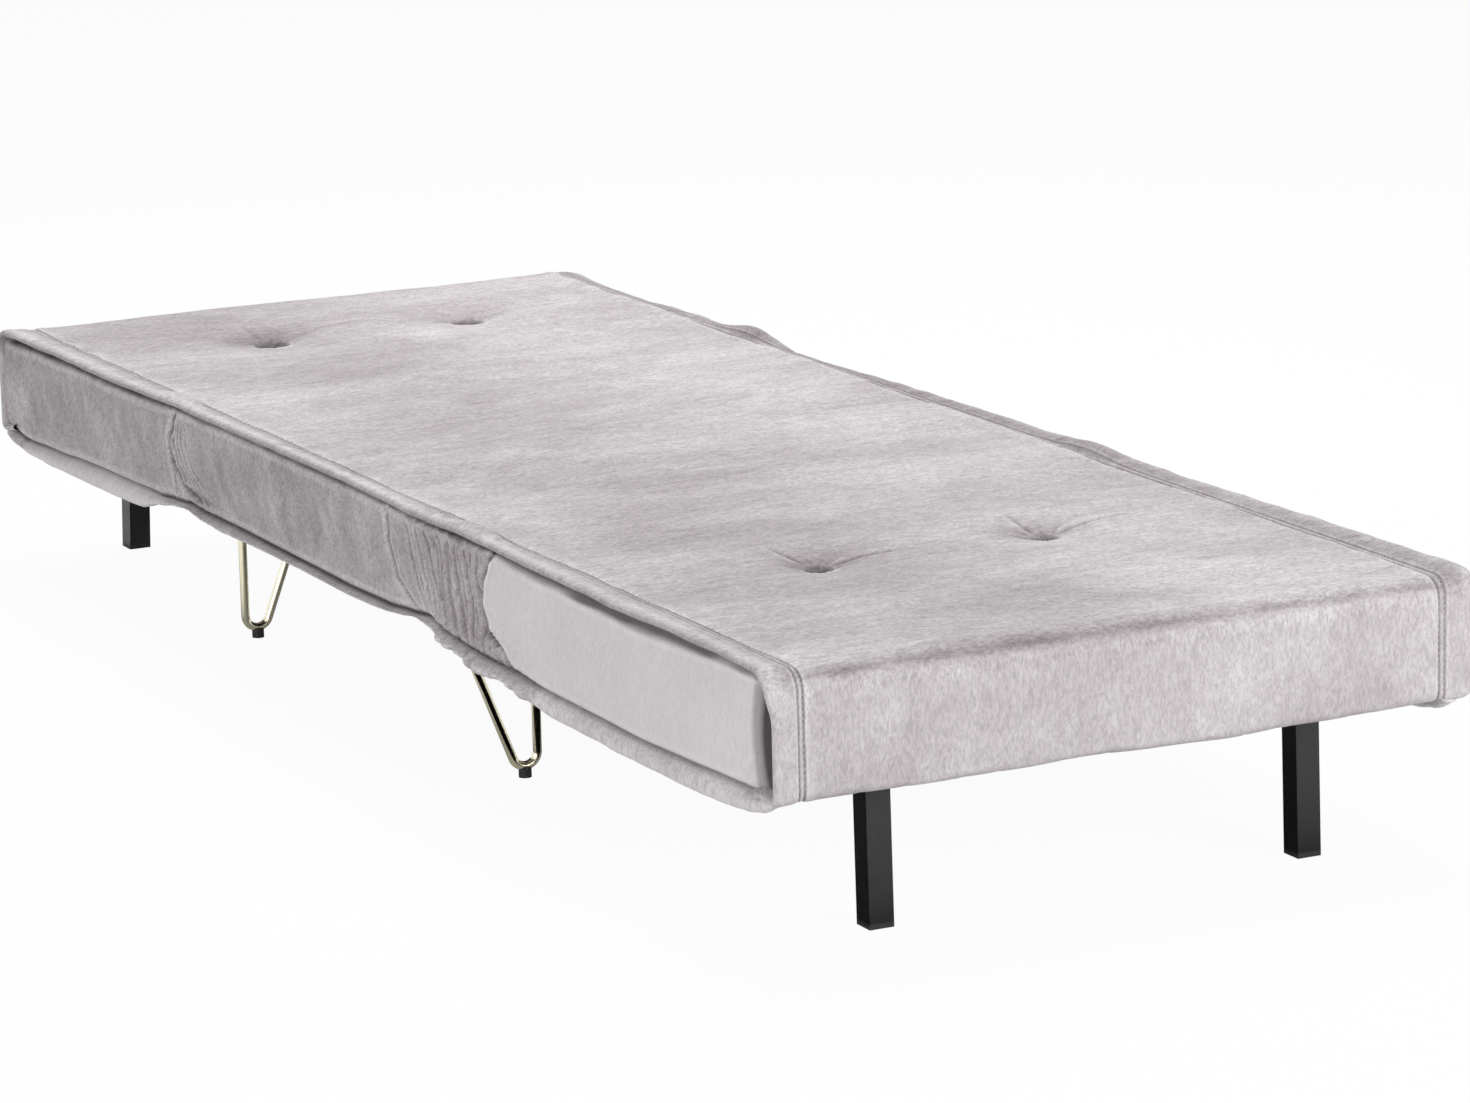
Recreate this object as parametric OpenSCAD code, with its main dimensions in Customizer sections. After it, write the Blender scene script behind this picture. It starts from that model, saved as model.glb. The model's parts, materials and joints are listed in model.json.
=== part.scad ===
// Folding single sofa bed, drawn as a flat bed in millimetres.
// X runs across the bed, +Y towards the backrest end and +Z up. The floor is z = 0.
// Sections from +Y to -Y: the backrest, the fixed seat and the foot section.

/* [Mattress sections] */
// Length of the backrest section
back_length = 512; // [472:4:552]
// Length of the fixed seat section
base_length = 760; // [740:5:840]
// Length of the foot section that folds over the seat
flap_length = 660; // [600:5:700]
// Open gap between neighbouring sections
joint_gap = 2; // [1:0.5:3]
// Width of the top panel between its two long seams
panel_width = 667; // [600:1:760]
// Width of the raised lip outside each long seam
lip_width = 39; // [30:1:45]
// How far the side panel stands in from the edge of the lip
side_inset = 15.5; // [8:0.5:20]
// Height of the long seams above the floor
seam_height = 265; // [255:1:285]
// Swell of the top panel above its seams
crown = 2.5; // [1:0.5:4]
// Thickness of the lip
lip_t = 9; // [8:0.5:12]
// How far the side panels are drawn in at mid length
side_draw = 4; // [0:0.5:6]
// Swell of each side panel between its seams
side_swell = 2; // [0:0.5:3]
// Height of the foot section's lower side seam
flap_seam_low = 156; // [150:1:160]
// Lowest point of the foot section's padded underside
flap_roll = 128; // [122:1:136]
// Height of the seat's lower side seam
base_seam_low = 168; // [165:1:175]
// Lowest point of the seat's side border
base_roll = 157; // [152:1:160]
// Height of the backrest's lower side seam
back_seam_low = 152; // [148:1:158]
// Lowest point of the backrest's padded rear
back_roll = 142; // [136:1:146]

/* [Tufts] */
// Distance from the middle line to each tuft
tuft_x = 122; // [90:1:180]
// Distance from the backrest joint to the backrest tufts
back_tuft_set = 287; // [200:1:330]
// Distance from the foot joint to the foot section's tufts
flap_tuft_set = 293; // [200:1:420]
// Depth of each tuft below the seams
tuft_depth = 22; // [14:1:26]
// Radius of the dimple round each tuft
tuft_radius = 62; // [50:1:66]
// Radius of each covered button
button_r = 10; // [7:0.5:12]
// Height of each covered button
button_h = 4.5; // [3:0.5:7]

/* [Cover and filling] */
// Thickness of the padded cover over the foam, at the seams
cover_top = 5.5; // [4:0.5:8]
// Thickness of the cover's end walls beside the frame
cover_end = 3; // [2.5:0.5:4]
// Thickness of the cover's end walls beside the foam, inside their rounded edges
edge_wall = 12; // [11:0.5:16]
// Thickness of the side padding beside the seat frame
side_wall = 14; // [12:0.5:18]
// Height of the padding under the frame of the foot section
flap_pad = 30; // [20:1:34]
// Height of the padding under the frame of the backrest
back_pad = 25; // [18:1:30]
// Width of each wooden slat
slat_width = 58; // [40:1:70]
// Space between two slats
slat_gap = 48; // [30:1:60]
// Thickness of each wooden slat
slat_t = 8; // [6:0.5:12]
// Thickness of the dust cloth under the seat
cloth_t = 1.5; // [1:0.5:3]

/* [Steel frames] */
// Side of the square tube in both folding frames
rail = 20; // [18:1:25]
// Height of the rectangular tube in the seat frame
base_rail_h = 40; // [36:1:44]
// Wall of every frame tube
rail_wall = 1.5; // [1:0.5:2.5]
// Thickness of the hinge plates
plate_t = 3; // [2:0.5:4]
// Height of the joint axes above the crown of the mattress
pivot_rise = 0.5; // [0.5:0.5:3]
// Radius of the hinge pins
pin_r = 3; // [2.5:0.25:3.5]
// Wall of the plate's eye round its pin
eye_wall = 3; // [2.5:0.25:4]
// Length of a hinge plate along its rail
plate_len = 52; // [46:1:70]
// Outer radius of the ratchet's teeth
tooth_r = 24; // [22:1:27]
// Depth of the ratchet's notches
notch_depth = 4.5; // [3.5:0.5:5]
// Angle between the ratchet's notches
notch_pitch = 20; // [18:1:24]
// Steepest angle of the backrest above the seat
recline_max = 75; // [70:1:78]
// Angle that the pawl swings to engage
pawl_swing = 15; // [14:1:18]
// Radius of the rivets
rivet_r = 3; // [2:0.25:3.5]

/* [Folding legs] */
// Side of the square tube of the black legs
leg_tube = 25; // [20:1:28]
// Wall of the leg tube
leg_wall = 1.5; // [1:0.5:2.5]
// Height of the legs' pivots above the floor
leg_pivot_z = 165; // [160:1:168]
// Distance from the middle line to the middle of each black leg
leg_x = 225.8; // [180:0.1:260]
// Lean of the backrest's legs towards the head end
back_leg_lean = 4.3; // [0:0.1:5]
// Lean of the foot section's legs towards the foot end
flap_leg_lean = 1.5; // [0:0.1:5]
// Distance from the head end to the backrest's leg pivots
back_leg_set = 48.9; // [34:0.1:60]
// Distance from the foot end to the foot section's leg pivots
flap_leg_set = 75.5; // [40:0.5:120]
// Thickness of the leg brackets
bracket_t = 3; // [2:0.5:4]
// Radius of the legs' pivot bolts
bolt_r = 4; // [3:0.5:5]
// Height of the plastic end plug that shows under each leg
plug_h = 5; // [3:0.5:10]

/* [Hairpin legs] */
// Distance from the middle line to each hairpin foot
hairpin_x = 277; // [240:1:285]
// Distance from the backrest joint to the rear hairpin legs
hairpin_rear_set = 20; // [20:1:60]
// Distance from the foot joint to the front hairpin legs
hairpin_front_set = 49; // [20:1:90]
// Diameter of the bent rod
rod_d = 9; // [7:0.5:10]
// Radius of the bend, to the middle of the rod
bend_r = 14; // [10:0.5:18]
// Slant of the inclined rod
rod_slant = 21; // [15:0.5:23]
// Thickness of the mounting plate
mount_t = 3; // [2:0.5:4]
// Depth of the mounting plate along the bed
mount_depth = 30; // [24:1:30]
// Height of the rubber foot
foot_h = 8; // [6:0.5:12]
// Radius of the rubber foot
foot_r = 6.5; // [6:0.25:8]
// Radius of the mounting screws
screw_r = 2.5; // [2:0.25:3]

/* [Hidden] */

$fn = 48;
// Clearance between pieces that fit together
fit = 0.3;
// Clearance round a pin in its bore
bore_fit = 0.08;
// Spare length of a cut beyond the piece it cuts
over = 1;

// Places along the bed
back_leg_reach = leg_pivot_z * tan(back_leg_lean) + leg_tube / 2;
head_overhang = max(0, back_leg_reach - back_leg_set);
total_length = back_length + base_length + flap_length;
head_end = (total_length - head_overhang) / 2;
foot_end = head_end - total_length;
back_joint = head_end - back_length;
flap_joint = foot_end + flap_length;
base_middle = (back_joint + flap_joint) / 2;
back_leg_y = head_end - back_leg_set;
flap_leg_y = foot_end + flap_leg_set;
back_tuft_y = back_joint + back_tuft_set;
flap_tuft_y = flap_joint - flap_tuft_set;
hairpin_rear_y = back_joint - hairpin_rear_set;
hairpin_front_y = flap_joint + hairpin_front_set;

// Places across the bed
panel_half = panel_width / 2;
lip_x = panel_half + lip_width;
side_x = lip_x - side_inset;
base_rail_out = side_x - side_wall;
wing_rail_out = base_rail_out + plate_t + fit;
foam_inset = 2;
foam_half = base_rail_out - foam_inset;
pocket_out = wing_rail_out + plate_t + 1.5 * fit;

// Heights
pivot_z = seam_height + crown + pivot_rise;
rail_z = leg_pivot_z + leg_tube / 2 + fit + bracket_t;
rail_top = rail_z + rail;
base_rail_z = rail_top - base_rail_h;
slat_top = rail_top + slat_t;
foam_z = slat_top + fit;
cavity_top = seam_height - cover_top;
foam_top = cavity_top - fit;
mount_z = base_rail_z - mount_t;
tuft_z = seam_height - tuft_depth;
well_z = tuft_z - cover_top;

// Tufts, their wells in the foam and their ties
dimple_flat = 1.5 * button_r + 1;
well_margin = 4;
well_r = tuft_radius + well_margin;
well_floor_r = button_r + well_margin + 1;
tie_r = 1.25;
washer_r = 12;
washer_t = 3;

// Frame members and hinge parts
rail_end = joint_gap / 2 + cover_end + 1;
eye_r = pin_r + eye_wall;
head_t = 2;
head_r = pin_r + head_t;
knee = [28, -16];
web_drop = 36;
web_tip = 6;
rivet_near = 14;
rivet_far = 10;
rivet_places = [rail_end + rivet_near, rail_end + plate_len - rivet_far];
rivet_z = rail_top - rail / 2;
rivet_sink = 1;

// Ratchet and pawl, with directions seen along X about the backrest's joint
smooth_r = tooth_r - notch_depth;
notch_half = 5.5;
first_tooth = 6;
pawl_nose_dir = 282;
notch_dirs = [for (k = [0 : 2]) pawl_nose_dir + recline_max - k * notch_pitch];
pawl_pin_dir = 305;
pawl_reach = tooth_r + 10;
pawl_pin = pawl_reach * [cos(pawl_pin_dir), sin(pawl_pin_dir)];
pawl_pin_r = 2.5;
pawl_eye_r = 5;
nose_half = 1.2;

// Room in the covers round the hinge parts
pocket_room = 3;
hinge_pocket_r = pawl_reach + pawl_eye_r + pocket_room;
flap_pocket_r = eye_r + pocket_room / 2;
pocket_len = rail_end + plate_len + 3 * pocket_room;
neck_len = eye_r + 4 * pocket_room;

// Folding leg parts
leg_half = leg_tube / 2;
leg_stop_r = leg_half + 1.5;
cheek_in = leg_half + fit;
cheek_out = cheek_in + bracket_t;
cheek_reach = 13;
cheek_drops = [14, 5];
bolt_head_t = 3;
bolt_head_r = bolt_r + bolt_head_t;
spigot_len = 14;
spigot_half = leg_half - leg_wall - fit;
slot_room = 1.5;
slot_half = leg_half + slot_room;
slot_out = leg_half + 2 * slot_room;
slot_reach = leg_pivot_z + 4 * slot_room;
bracket_slot_half = cheek_out + bolt_head_t + slot_room;

// Hairpin leg parts
rod_r = rod_d / 2;
rod_step = 0.05;
rod_sink = 1;
bend_z = foot_h - rod_sink + rod_r + bend_r;
slant_x = bend_r * cos(rod_slant);
slant_z = bend_z - bend_r * sin(rod_slant);
slant_run = (mount_z - slant_z) * tan(rod_slant);
slant_top = slant_x + slant_run;
mount_margin = rod_r + 1;
foot_lip = rod_r * 0.4;
screw_head_t = 2;
screw_shares = [0.3, 0.72];
screw_grip = rail_wall + 1;

function smooth(t) = t <= 0 ? 0 : t >= 1 ? 1 : t * t * (3 - 2 * t);
function blend(a, b, t) = a + (b - a) * smooth(t);
function polar(r, a) = [r * cos(a), r * sin(a)];

// Upholstery covers

// Share of a tuft's pull at a distance from its middle
function pull(d) = pow(1 - smooth((d - dimple_flat) / (tuft_radius - dimple_flat)), 1.5);

// Height of the top panel, crowned between its seams and drawn down at the tufts
function top_z(x, y, tuft_y) =
    let (w = pull(norm([abs(x) - tuft_x, y - tuft_y])))
    (1 - w) * (seam_height + crown * (1 - pow(abs(x) / panel_half, 2))) + w * tuft_z;

// Places round a tuft, across and along the bed, where the surface has a row of points
tuft_span = 66;
tuft_columns = [-40, -24, -button_r - 1, 0, button_r + 1, 24, 40, 60];
tuft_rows = [-tuft_span, -42, -24, -button_r - 1, button_r + 1, 24, 42, tuft_span];
top_x = [for (k = [0 : 2]) k * (tuft_x + tuft_columns[0]) / 3,
    for (d = tuft_columns) tuft_x + d,
    (tuft_x + tuft_columns[7] + panel_half) / 2];

// Depth of the long seams, pinch of the lower seams and round of the lower edges
seam_dip = 0.5;
seam_pinch = 2;
roll_round = 14;

// Right half of a cover's outline from its top middle to its underside
function half_ring(y, s) =
    let (
        t = (y - s[0]) / (s[1] - s[0]),
        draw = side_draw * 4 * t * (1 - t),
        low = s[2],
        roll = blend(s[3], s[4], abs(2 * t - 1) * 1.6 - 0.6),
        side = side_x - draw,
        tall = seam_height - low
    )
    concat(
        [for (x = top_x) [x, top_z(x, y, s[5])]],
        [
            [panel_half, seam_height - seam_dip],
            [panel_half + lip_width * 0.4, seam_height + crown - seam_dip],
            [lip_x - lip_t * 0.2, seam_height - lip_t * 0.1],
            [lip_x, seam_height - lip_t * 0.5],
            [lip_x - lip_t * 0.3, seam_height - lip_t],
            [side - seam_dip, seam_height - lip_t - 4],
            [side + side_swell * 0.75, seam_height - tall * 0.3],
            [side + side_swell, seam_height - tall * 0.6],
            [side - seam_pinch / 2, low + 1.5 * seam_pinch],
            [side - seam_pinch, low],
            [side + seam_pinch / 2, low - (low - roll) * 0.35],
            [side - seam_pinch, low - (low - roll) * 0.75],
            [side - roll_round, roll],
            [side - 4 * roll_round, roll + 1],
            [side / 2, roll + 2]
        ]
    );

// Full closed outline, drawn in by a margin and set at one place along the bed
function ring(y, inset, s) =
    let (
        right = half_ring(y, s),
        n = len(right),
        middle = (seam_height + s[2]) / 2,
        kx = 1 - inset / lip_x,
        kz = 1 - inset / (seam_height - middle),
        left = [for (k = [n - 1 : -1 : 1]) [-right[k][0], right[k][1]]],
        under = [[0, right[n - 1][1]]]
    )
    [for (p = concat(right, under, left)) [p[0] * kx, y, middle + (p[1] - middle) * kz]];

// Height above the lower seam of the point where an end's triangles meet
fan_rise = 20;

// Closed solid through rings of equal count, with a fan at each end
module cover_body(stations, s) {
    rings = [for (st = stations) ring(st[0], st[1], s)];
    n = len(rings[0]);
    m = len(rings);
    fan_z = s[2] + fan_rise;
    points = concat(
        [for (r = rings) each r],
        [[0, stations[0][0], fan_z], [0, stations[m - 1][0], fan_z]]
    );
    walls = [for (j = [0 : m - 2], k = [0 : n - 1])
        let (a = j * n + k, b = j * n + (k + 1) % n)
        each [[a, b + n, b], [a, a + n, b + n]]];
    near = [for (k = [0 : n - 1]) [m * n, k, (k + 1) % n]];
    far = [for (k = [0 : n - 1]) [m * n + 1, (m - 1) * n + (k + 1) % n, (m - 1) * n + k]];
    polyhedron(points, concat(walls, near, far));
}

// Rows of a rounded edge: the distance from the end and how far the outline is drawn in
joint_edge = [[joint_gap / 2, 1.5], [joint_gap / 2 + 4, 0]];
outer_edge = [[24, 0], [11, 2], [3.5, 6], [0, 13]];
edge_run = outer_edge[0][0];

// Ends, lower seam, underside in the middle and at the ends, and place of the tufts
no_tufts = 10 * total_length;
back_section = [back_joint, head_end, back_seam_low, back_roll, back_roll + 6, back_tuft_y];
base_section = [flap_joint, back_joint, base_seam_low, base_roll, base_roll - 6, no_tufts];
flap_section = [foot_end, flap_joint, flap_seam_low, flap_roll, flap_roll + 14, flap_tuft_y];

back_stations = concat(
    [for (e = joint_edge) [back_joint + e[0], e[1]]],
    [for (k = [1 : 3]) [back_joint + k * (back_tuft_set - tuft_span) / 4, 0]],
    [for (d = tuft_rows) [back_tuft_y + d, 0]],
    [[(back_tuft_y + tuft_span + head_end - edge_run) / 2, 0]],
    [for (e = outer_edge) [head_end - e[0], e[1]]]
);
base_stations = concat(
    [for (e = joint_edge) [flap_joint + e[0], e[1]]],
    [for (k = [1 : 11]) [flap_joint + k * base_length / 12, 0]],
    [for (k = [1, 0]) [back_joint - joint_edge[k][0], joint_edge[k][1]]]
);
flap_stations = concat(
    [for (k = [3 : -1 : 0]) [foot_end + outer_edge[k][0], outer_edge[k][1]]],
    [for (k = [1 : 3])
        [foot_end + edge_run + k * (flap_tuft_y - tuft_span - foot_end - edge_run) / 4, 0]],
    [for (d = tuft_rows) [flap_tuft_y + d, 0]],
    [for (k = [3 : -1 : 1]) [flap_joint - k * (flap_tuft_set - tuft_span) / 4, 0]],
    [for (k = [1, 0]) [flap_joint - joint_edge[k][0], joint_edge[k][1]]]
);

// Block between two places along the bed, with the same half width on both sides
module slab(half, y0, y1, z0, z1) {
    translate([-half, y0, z0])
        cube([2 * half, y1 - y0, z1 - z0]);
}

// Radius of a tuft's tapered well at a height
function well_radius(z) =
    well_floor_r + (z - well_z) * (well_r - well_floor_r) / (cavity_top - well_z);

// Tapered well under both dimples of a section
module tuft_wells(tuft_y, grow) {
    low = well_z - grow;
    high = cavity_top + over;
    for (side = [-1, 1])
        translate([side * tuft_x, tuft_y, low])
            cylinder(h = high - low, r1 = well_radius(low) + 2 * grow, r2 = well_radius(high) + 2 * grow);
}

// Holes for the ties and washers of a section's tufts
module tie_holes(tuft_y) {
    for (side = [-1, 1])
        translate([side * tuft_x, tuft_y, foam_z - over]) {
            cylinder(h = seam_height - foam_z, r = tie_r + fit);
            cylinder(h = washer_t + over + fit, r = washer_r + fit);
        }
}

// Room for one joint's plates, eyes and pins, cut from the covers on both sides
module hinge_pockets(joint_y, drum_r) {
    for (side = [-1, 1]) {
        for (band = [
                [foam_half - fit, pocket_out, pocket_len, base_rail_z - 2 * fit, cavity_top],
                [base_rail_out - fit, pocket_out, neck_len, cavity_top - over, pivot_z + eye_r]])
            translate([min(side * band[0], side * band[1]), joint_y - band[2], band[3]])
                cube([band[1] - band[0], 2 * band[2], band[4] - band[3]]);
        translate([side * (base_rail_out - fit), joint_y, pivot_z])
            rotate([0, side * 90, 0])
                cylinder(h = pocket_out - base_rail_out + fit, r = drum_r);
        translate([side * (base_rail_out - head_t - 2 * fit), joint_y, pivot_z])
            rotate([0, side * 90, 0])
                cylinder(h = pocket_out - base_rail_out + 2 * head_t + 2 * fit,
                    r = head_r + pocket_room / 2);
    }
}

// Openings in a folding section's underside for its two legs
module leg_slots(leg_y, inward) {
    for (side = [-1, 1]) {
        translate([side * leg_x - slot_half, leg_y - (inward < 0 ? slot_reach : slot_out), 0])
            cube([2 * slot_half, slot_reach + slot_out, rail_z - bracket_t]);
        translate([side * leg_x - bracket_slot_half, leg_y - cheek_reach - slot_room, 0])
            cube([2 * bracket_slot_half, 2 * (cheek_reach + slot_room), rail_z - fit]);
    }
}

module back_cover() {
    color("silver")
        difference() {
            cover_body(back_stations, back_section);
            slab(wing_rail_out + fit, back_joint + rail_end - fit, head_end - edge_wall,
                rail_z - back_pad, rail_z);
            slab(wing_rail_out + fit, back_joint + rail_end - fit, head_end - cover_end,
                rail_z - fit, slat_top + fit);
            difference() {
                slab(foam_half + fit, back_joint + rail_end - fit, head_end - edge_wall,
                    slat_top, cavity_top);
                tuft_wells(back_tuft_y, 0);
            }
            hinge_pockets(back_joint, hinge_pocket_r);
            leg_slots(back_leg_y, -1);
            tie_holes(back_tuft_y);
        }
}

module base_cover() {
    color("silver")
        difference() {
            cover_body(base_stations, base_section);
            slab(base_rail_out + fit, flap_joint + rail_end - fit, back_joint - rail_end + fit,
                0, slat_top + fit);
            slab(foam_half + fit, flap_joint + rail_end - fit, back_joint - rail_end + fit,
                slat_top, cavity_top);
            hinge_pockets(back_joint, hinge_pocket_r);
            hinge_pockets(flap_joint, flap_pocket_r);
            mount_cuts();
        }
}

module flap_cover() {
    color("silver")
        difference() {
            cover_body(flap_stations, flap_section);
            slab(wing_rail_out + fit, foot_end + edge_wall, flap_joint - rail_end + fit,
                rail_z - flap_pad, rail_z);
            slab(wing_rail_out + fit, foot_end + cover_end, flap_joint - rail_end + fit,
                rail_z - fit, slat_top + fit);
            difference() {
                slab(foam_half + fit, foot_end + edge_wall, flap_joint - rail_end + fit,
                    slat_top, cavity_top);
                tuft_wells(flap_tuft_y, 0);
            }
            hinge_pockets(flap_joint, flap_pocket_r);
            leg_slots(flap_leg_y, 1);
            tie_holes(flap_tuft_y);
        }
}

// Fillings

// Foam block of a folding section, hollowed under its tufts
module tufted_foam(y0, y1, tuft_y) {
    difference() {
        slab(foam_half, y0, y1, foam_z, foam_top);
        tuft_wells(tuft_y, fit);
        tie_holes(tuft_y);
    }
}

module back_foam() {
    color("ivory")
        tufted_foam(back_joint + rail_end, head_end - edge_wall - fit, back_tuft_y);
}

module base_foam() {
    color("ivory")
        slab(foam_half, flap_joint + rail_end, back_joint - rail_end, foam_z, foam_top);
}

module flap_foam() {
    color("ivory")
        tufted_foam(foot_end + edge_wall + fit, flap_joint - rail_end, flap_tuft_y);
}

// Padding under a folding frame, cut away round the legs
module back_under_pad() {
    color("white")
        difference() {
            slab(wing_rail_out, back_joint + rail_end, head_end - edge_wall - fit,
                rail_z - back_pad + fit, rail_z - fit);
            leg_slots(back_leg_y, -1);
        }
}

module flap_under_pad() {
    color("white")
        difference() {
            slab(wing_rail_out, foot_end + edge_wall + fit, flap_joint - rail_end,
                rail_z - flap_pad + fit, rail_z - fit);
            leg_slots(flap_leg_y, 1);
        }
}

module base_dust_cloth() {
    color("dimgray")
        difference() {
            slab(base_rail_out, flap_joint + rail_end, back_joint - rail_end,
                base_rail_z - cloth_t, base_rail_z);
            mount_cuts();
        }
}

// Slats in equal steps to both sides of one place, as many as fit on a frame
module slat_row(half, y0, y1, middle) {
    step = slat_width + slat_gap;
    before = floor((middle - y0 - slat_width / 2) / step);
    after = floor((y1 - middle - slat_width / 2) / step);
    for (k = [-before : after])
        slab(half, middle + k * step - slat_width / 2, middle + k * step + slat_width / 2,
            rail_top, slat_top);
}

module back_slats() {
    color("burlywood")
        slat_row(wing_rail_out, back_joint + rail_end, head_end - cover_end - fit, back_tuft_y);
}

module base_slats() {
    color("burlywood")
        slat_row(base_rail_out, flap_joint + rail_end, back_joint - rail_end, base_middle);
}

module flap_slats() {
    color("burlywood")
        slat_row(wing_rail_out, foot_end + cover_end + fit, flap_joint - rail_end, flap_tuft_y);
}

// Covered buttons in the tufts
module buttons(tuft_y) {
    for (side = [-1, 1])
        translate([side * tuft_x, tuft_y, tuft_z])
            intersection() {
                cylinder(h = button_h, r = button_r);
                translate([0, 0, button_h - 1.5 * button_r])
                    sphere(r = 1.5 * button_r);
            }
}

// Ties through the foam, each with a washer in the foam's underside
module ties(tuft_y) {
    for (side = [-1, 1])
        translate([side * tuft_x, tuft_y, foam_z]) {
            cylinder(h = washer_t, r = washer_r);
            cylinder(h = tuft_z - foam_z, r = tie_r);
        }
}

module back_tuft_buttons() {
    color("silver")
        buttons(back_tuft_y);
}

module back_tuft_ties() {
    color("white")
        ties(back_tuft_y);
}

module flap_tuft_buttons() {
    color("silver")
        buttons(flap_tuft_y);
}

module flap_tuft_ties() {
    color("white")
        ties(flap_tuft_y);
}

// Steel frames

// Hollow tube of any rectangular section, given as its box and the axis it runs along
module box_tube(low, size, along) {
    translate(low)
        difference() {
            cube(size);
            translate([for (k = [0 : 2]) k == along ? -over : rail_wall])
                cube([for (k = [0 : 2]) k == along ? size[k] + 2 * over : size[k] - 2 * rail_wall]);
        }
}

// Bores for a hinge plate's two rivets
module rivet_bores(x_out, joint_y, into) {
    for (side = [-1, 1], u = rivet_places)
        translate([side * (x_out - 2 * rail_wall), joint_y + into * u, rivet_z])
            rotate([0, side * 90, 0])
                cylinder(h = plate_t + 3 * rail_wall, r = rivet_r + bore_fit);
}

// Two side rails with cross rails at the given places
module frame(out, y0, y1, z, tall, cross) {
    for (side = [-1, 1])
        box_tube([side > 0 ? out - rail : -out, y0, z], [rail, y1 - y0, tall], 1);
    for (y = cross)
        box_tube([-(out - rail), y - rail / 2, z], [2 * (out - rail), rail, tall], 0);
}

module base_frame() {
    y0 = flap_joint + rail_end;
    y1 = back_joint - rail_end;
    color("dimgray")
        difference() {
            frame(base_rail_out, y0, y1, base_rail_z, base_rail_h,
                [hairpin_front_y, base_middle, hairpin_rear_y]);
            rivet_bores(base_rail_out, back_joint, -1);
            rivet_bores(base_rail_out, flap_joint, 1);
            for (y = [hairpin_front_y, hairpin_rear_y], side = [-1, 1], p = screw_places(y, side))
                translate([p, y, base_rail_z - over])
                    cylinder(h = 2 * rail_wall + over, r = screw_r + bore_fit);
        }
}

module back_frame() {
    y0 = back_joint + rail_end;
    y1 = head_end - cover_end - fit;
    color("dimgray")
        difference() {
            frame(wing_rail_out, y0, y1, rail_z, rail,
                [y0 + rail / 2, back_leg_y, y1 - rail / 2]);
            rivet_bores(wing_rail_out, back_joint, 1);
        }
}

module flap_frame() {
    y0 = foot_end + cover_end + fit;
    y1 = flap_joint - rail_end;
    color("dimgray")
        difference() {
            frame(wing_rail_out, y0, y1, rail_z, rail,
                [y0 + rail / 2, flap_leg_y, (flap_leg_y + y1) / 2, y1 - rail / 2]);
            rivet_bores(wing_rail_out, flap_joint, -1);
        }
}

// Flat piece seen along X: its outline's first axis turns to Y or -Y and its second to Z
module stand(into, thick) {
    multmatrix([[0, 0, 1, 0], [into, 0, 0, 0], [0, 1, 0, 0], [0, 0, 0, 1]])
        linear_extrude(thick)
            children();
}

// Round boss or bore along X
module along_x(h, r) {
    rotate([0, 90, 0])
        cylinder(h = h, r = r);
}

// Web of a hinge plate, with u away from the joint and z up from the pivot
module plate_web(low) {
    polygon([
        [joint_gap, 1 - eye_r], [eye_r - 1, 0], knee,
        [rail_end + plate_len, rail_top - web_tip - pivot_z],
        [rail_end + plate_len, low - pivot_z],
        [rail_end + 1, low - pivot_z],
        [joint_gap, -web_drop]
    ]);
}

// Hinge plate at one joint, reaching into its own section
module hinge_plate(side, x_in, joint_y, into, low) {
    translate([side > 0 ? x_in : -x_in - plate_t, joint_y, pivot_z])
        difference() {
            union() {
                stand(into, plate_t)
                    plate_web(low);
                along_x(plate_t, eye_r);
            }
            translate([-over, 0, 0])
                along_x(plate_t + 2 * over, pin_r + bore_fit);
            for (u = rivet_places)
                translate([-over, into * u, rivet_z - pivot_z])
                    along_x(plate_t + 2 * over, rivet_r + bore_fit);
            children();
        }
}

module base_flap_plate_left() {
    color("gray")
        hinge_plate(-1, base_rail_out, flap_joint, 1, base_rail_z);
}

module base_flap_plate_right() {
    color("gray")
        hinge_plate(1, base_rail_out, flap_joint, 1, base_rail_z);
}

module flap_hinge_plate_left() {
    color("gray")
        hinge_plate(-1, wing_rail_out, flap_joint, -1, rail_z);
}

module flap_hinge_plate_right() {
    color("gray")
        hinge_plate(1, wing_rail_out, flap_joint, -1, rail_z);
}

// Radius of the ratchet at a direction seen along X
function in_notch(a) = max([for (d = notch_dirs) abs(a - d) < notch_half ? 1 : 0]);
function ratchet_r(a) =
    a < notch_dirs[2] - notch_half - first_tooth ? smooth_r : in_notch(a) > 0 ? smooth_r : tooth_r;

// Toothed sector below the backrest's pivot
module ratchet_sector() {
    polygon(concat([[0, 0]], [for (a = [195 : 359]) polar(ratchet_r(a), a)]));
}

// Ratchet plate of the seat, with its teeth reaching under the backrest's eye
module ratchet_plate(side) {
    difference() {
        union() {
            hinge_plate(side, base_rail_out, back_joint, -1, base_rail_z);
            translate([side > 0 ? base_rail_out : -base_rail_out - plate_t, back_joint, pivot_z])
                stand(1, plate_t)
                    ratchet_sector();
        }
        translate([side > 0 ? base_rail_out - over : -base_rail_out - plate_t - over,
                back_joint, pivot_z])
            along_x(plate_t + 2 * over, pin_r + bore_fit);
    }
}

module base_ratchet_plate_left() {
    color("gray")
        ratchet_plate(-1);
}

module base_ratchet_plate_right() {
    color("gray")
        ratchet_plate(1);
}

module back_hinge_plate(side) {
    hinge_plate(side, wing_rail_out, back_joint, 1, rail_z)
        translate([-over, pawl_pin[0], pawl_pin[1]])
            along_x(plate_t + 2 * over, pawl_pin_r + bore_fit);
}

module back_hinge_plate_left() {
    color("gray")
        back_hinge_plate(-1);
}

module back_hinge_plate_right() {
    color("gray")
        back_hinge_plate(1);
}

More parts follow.
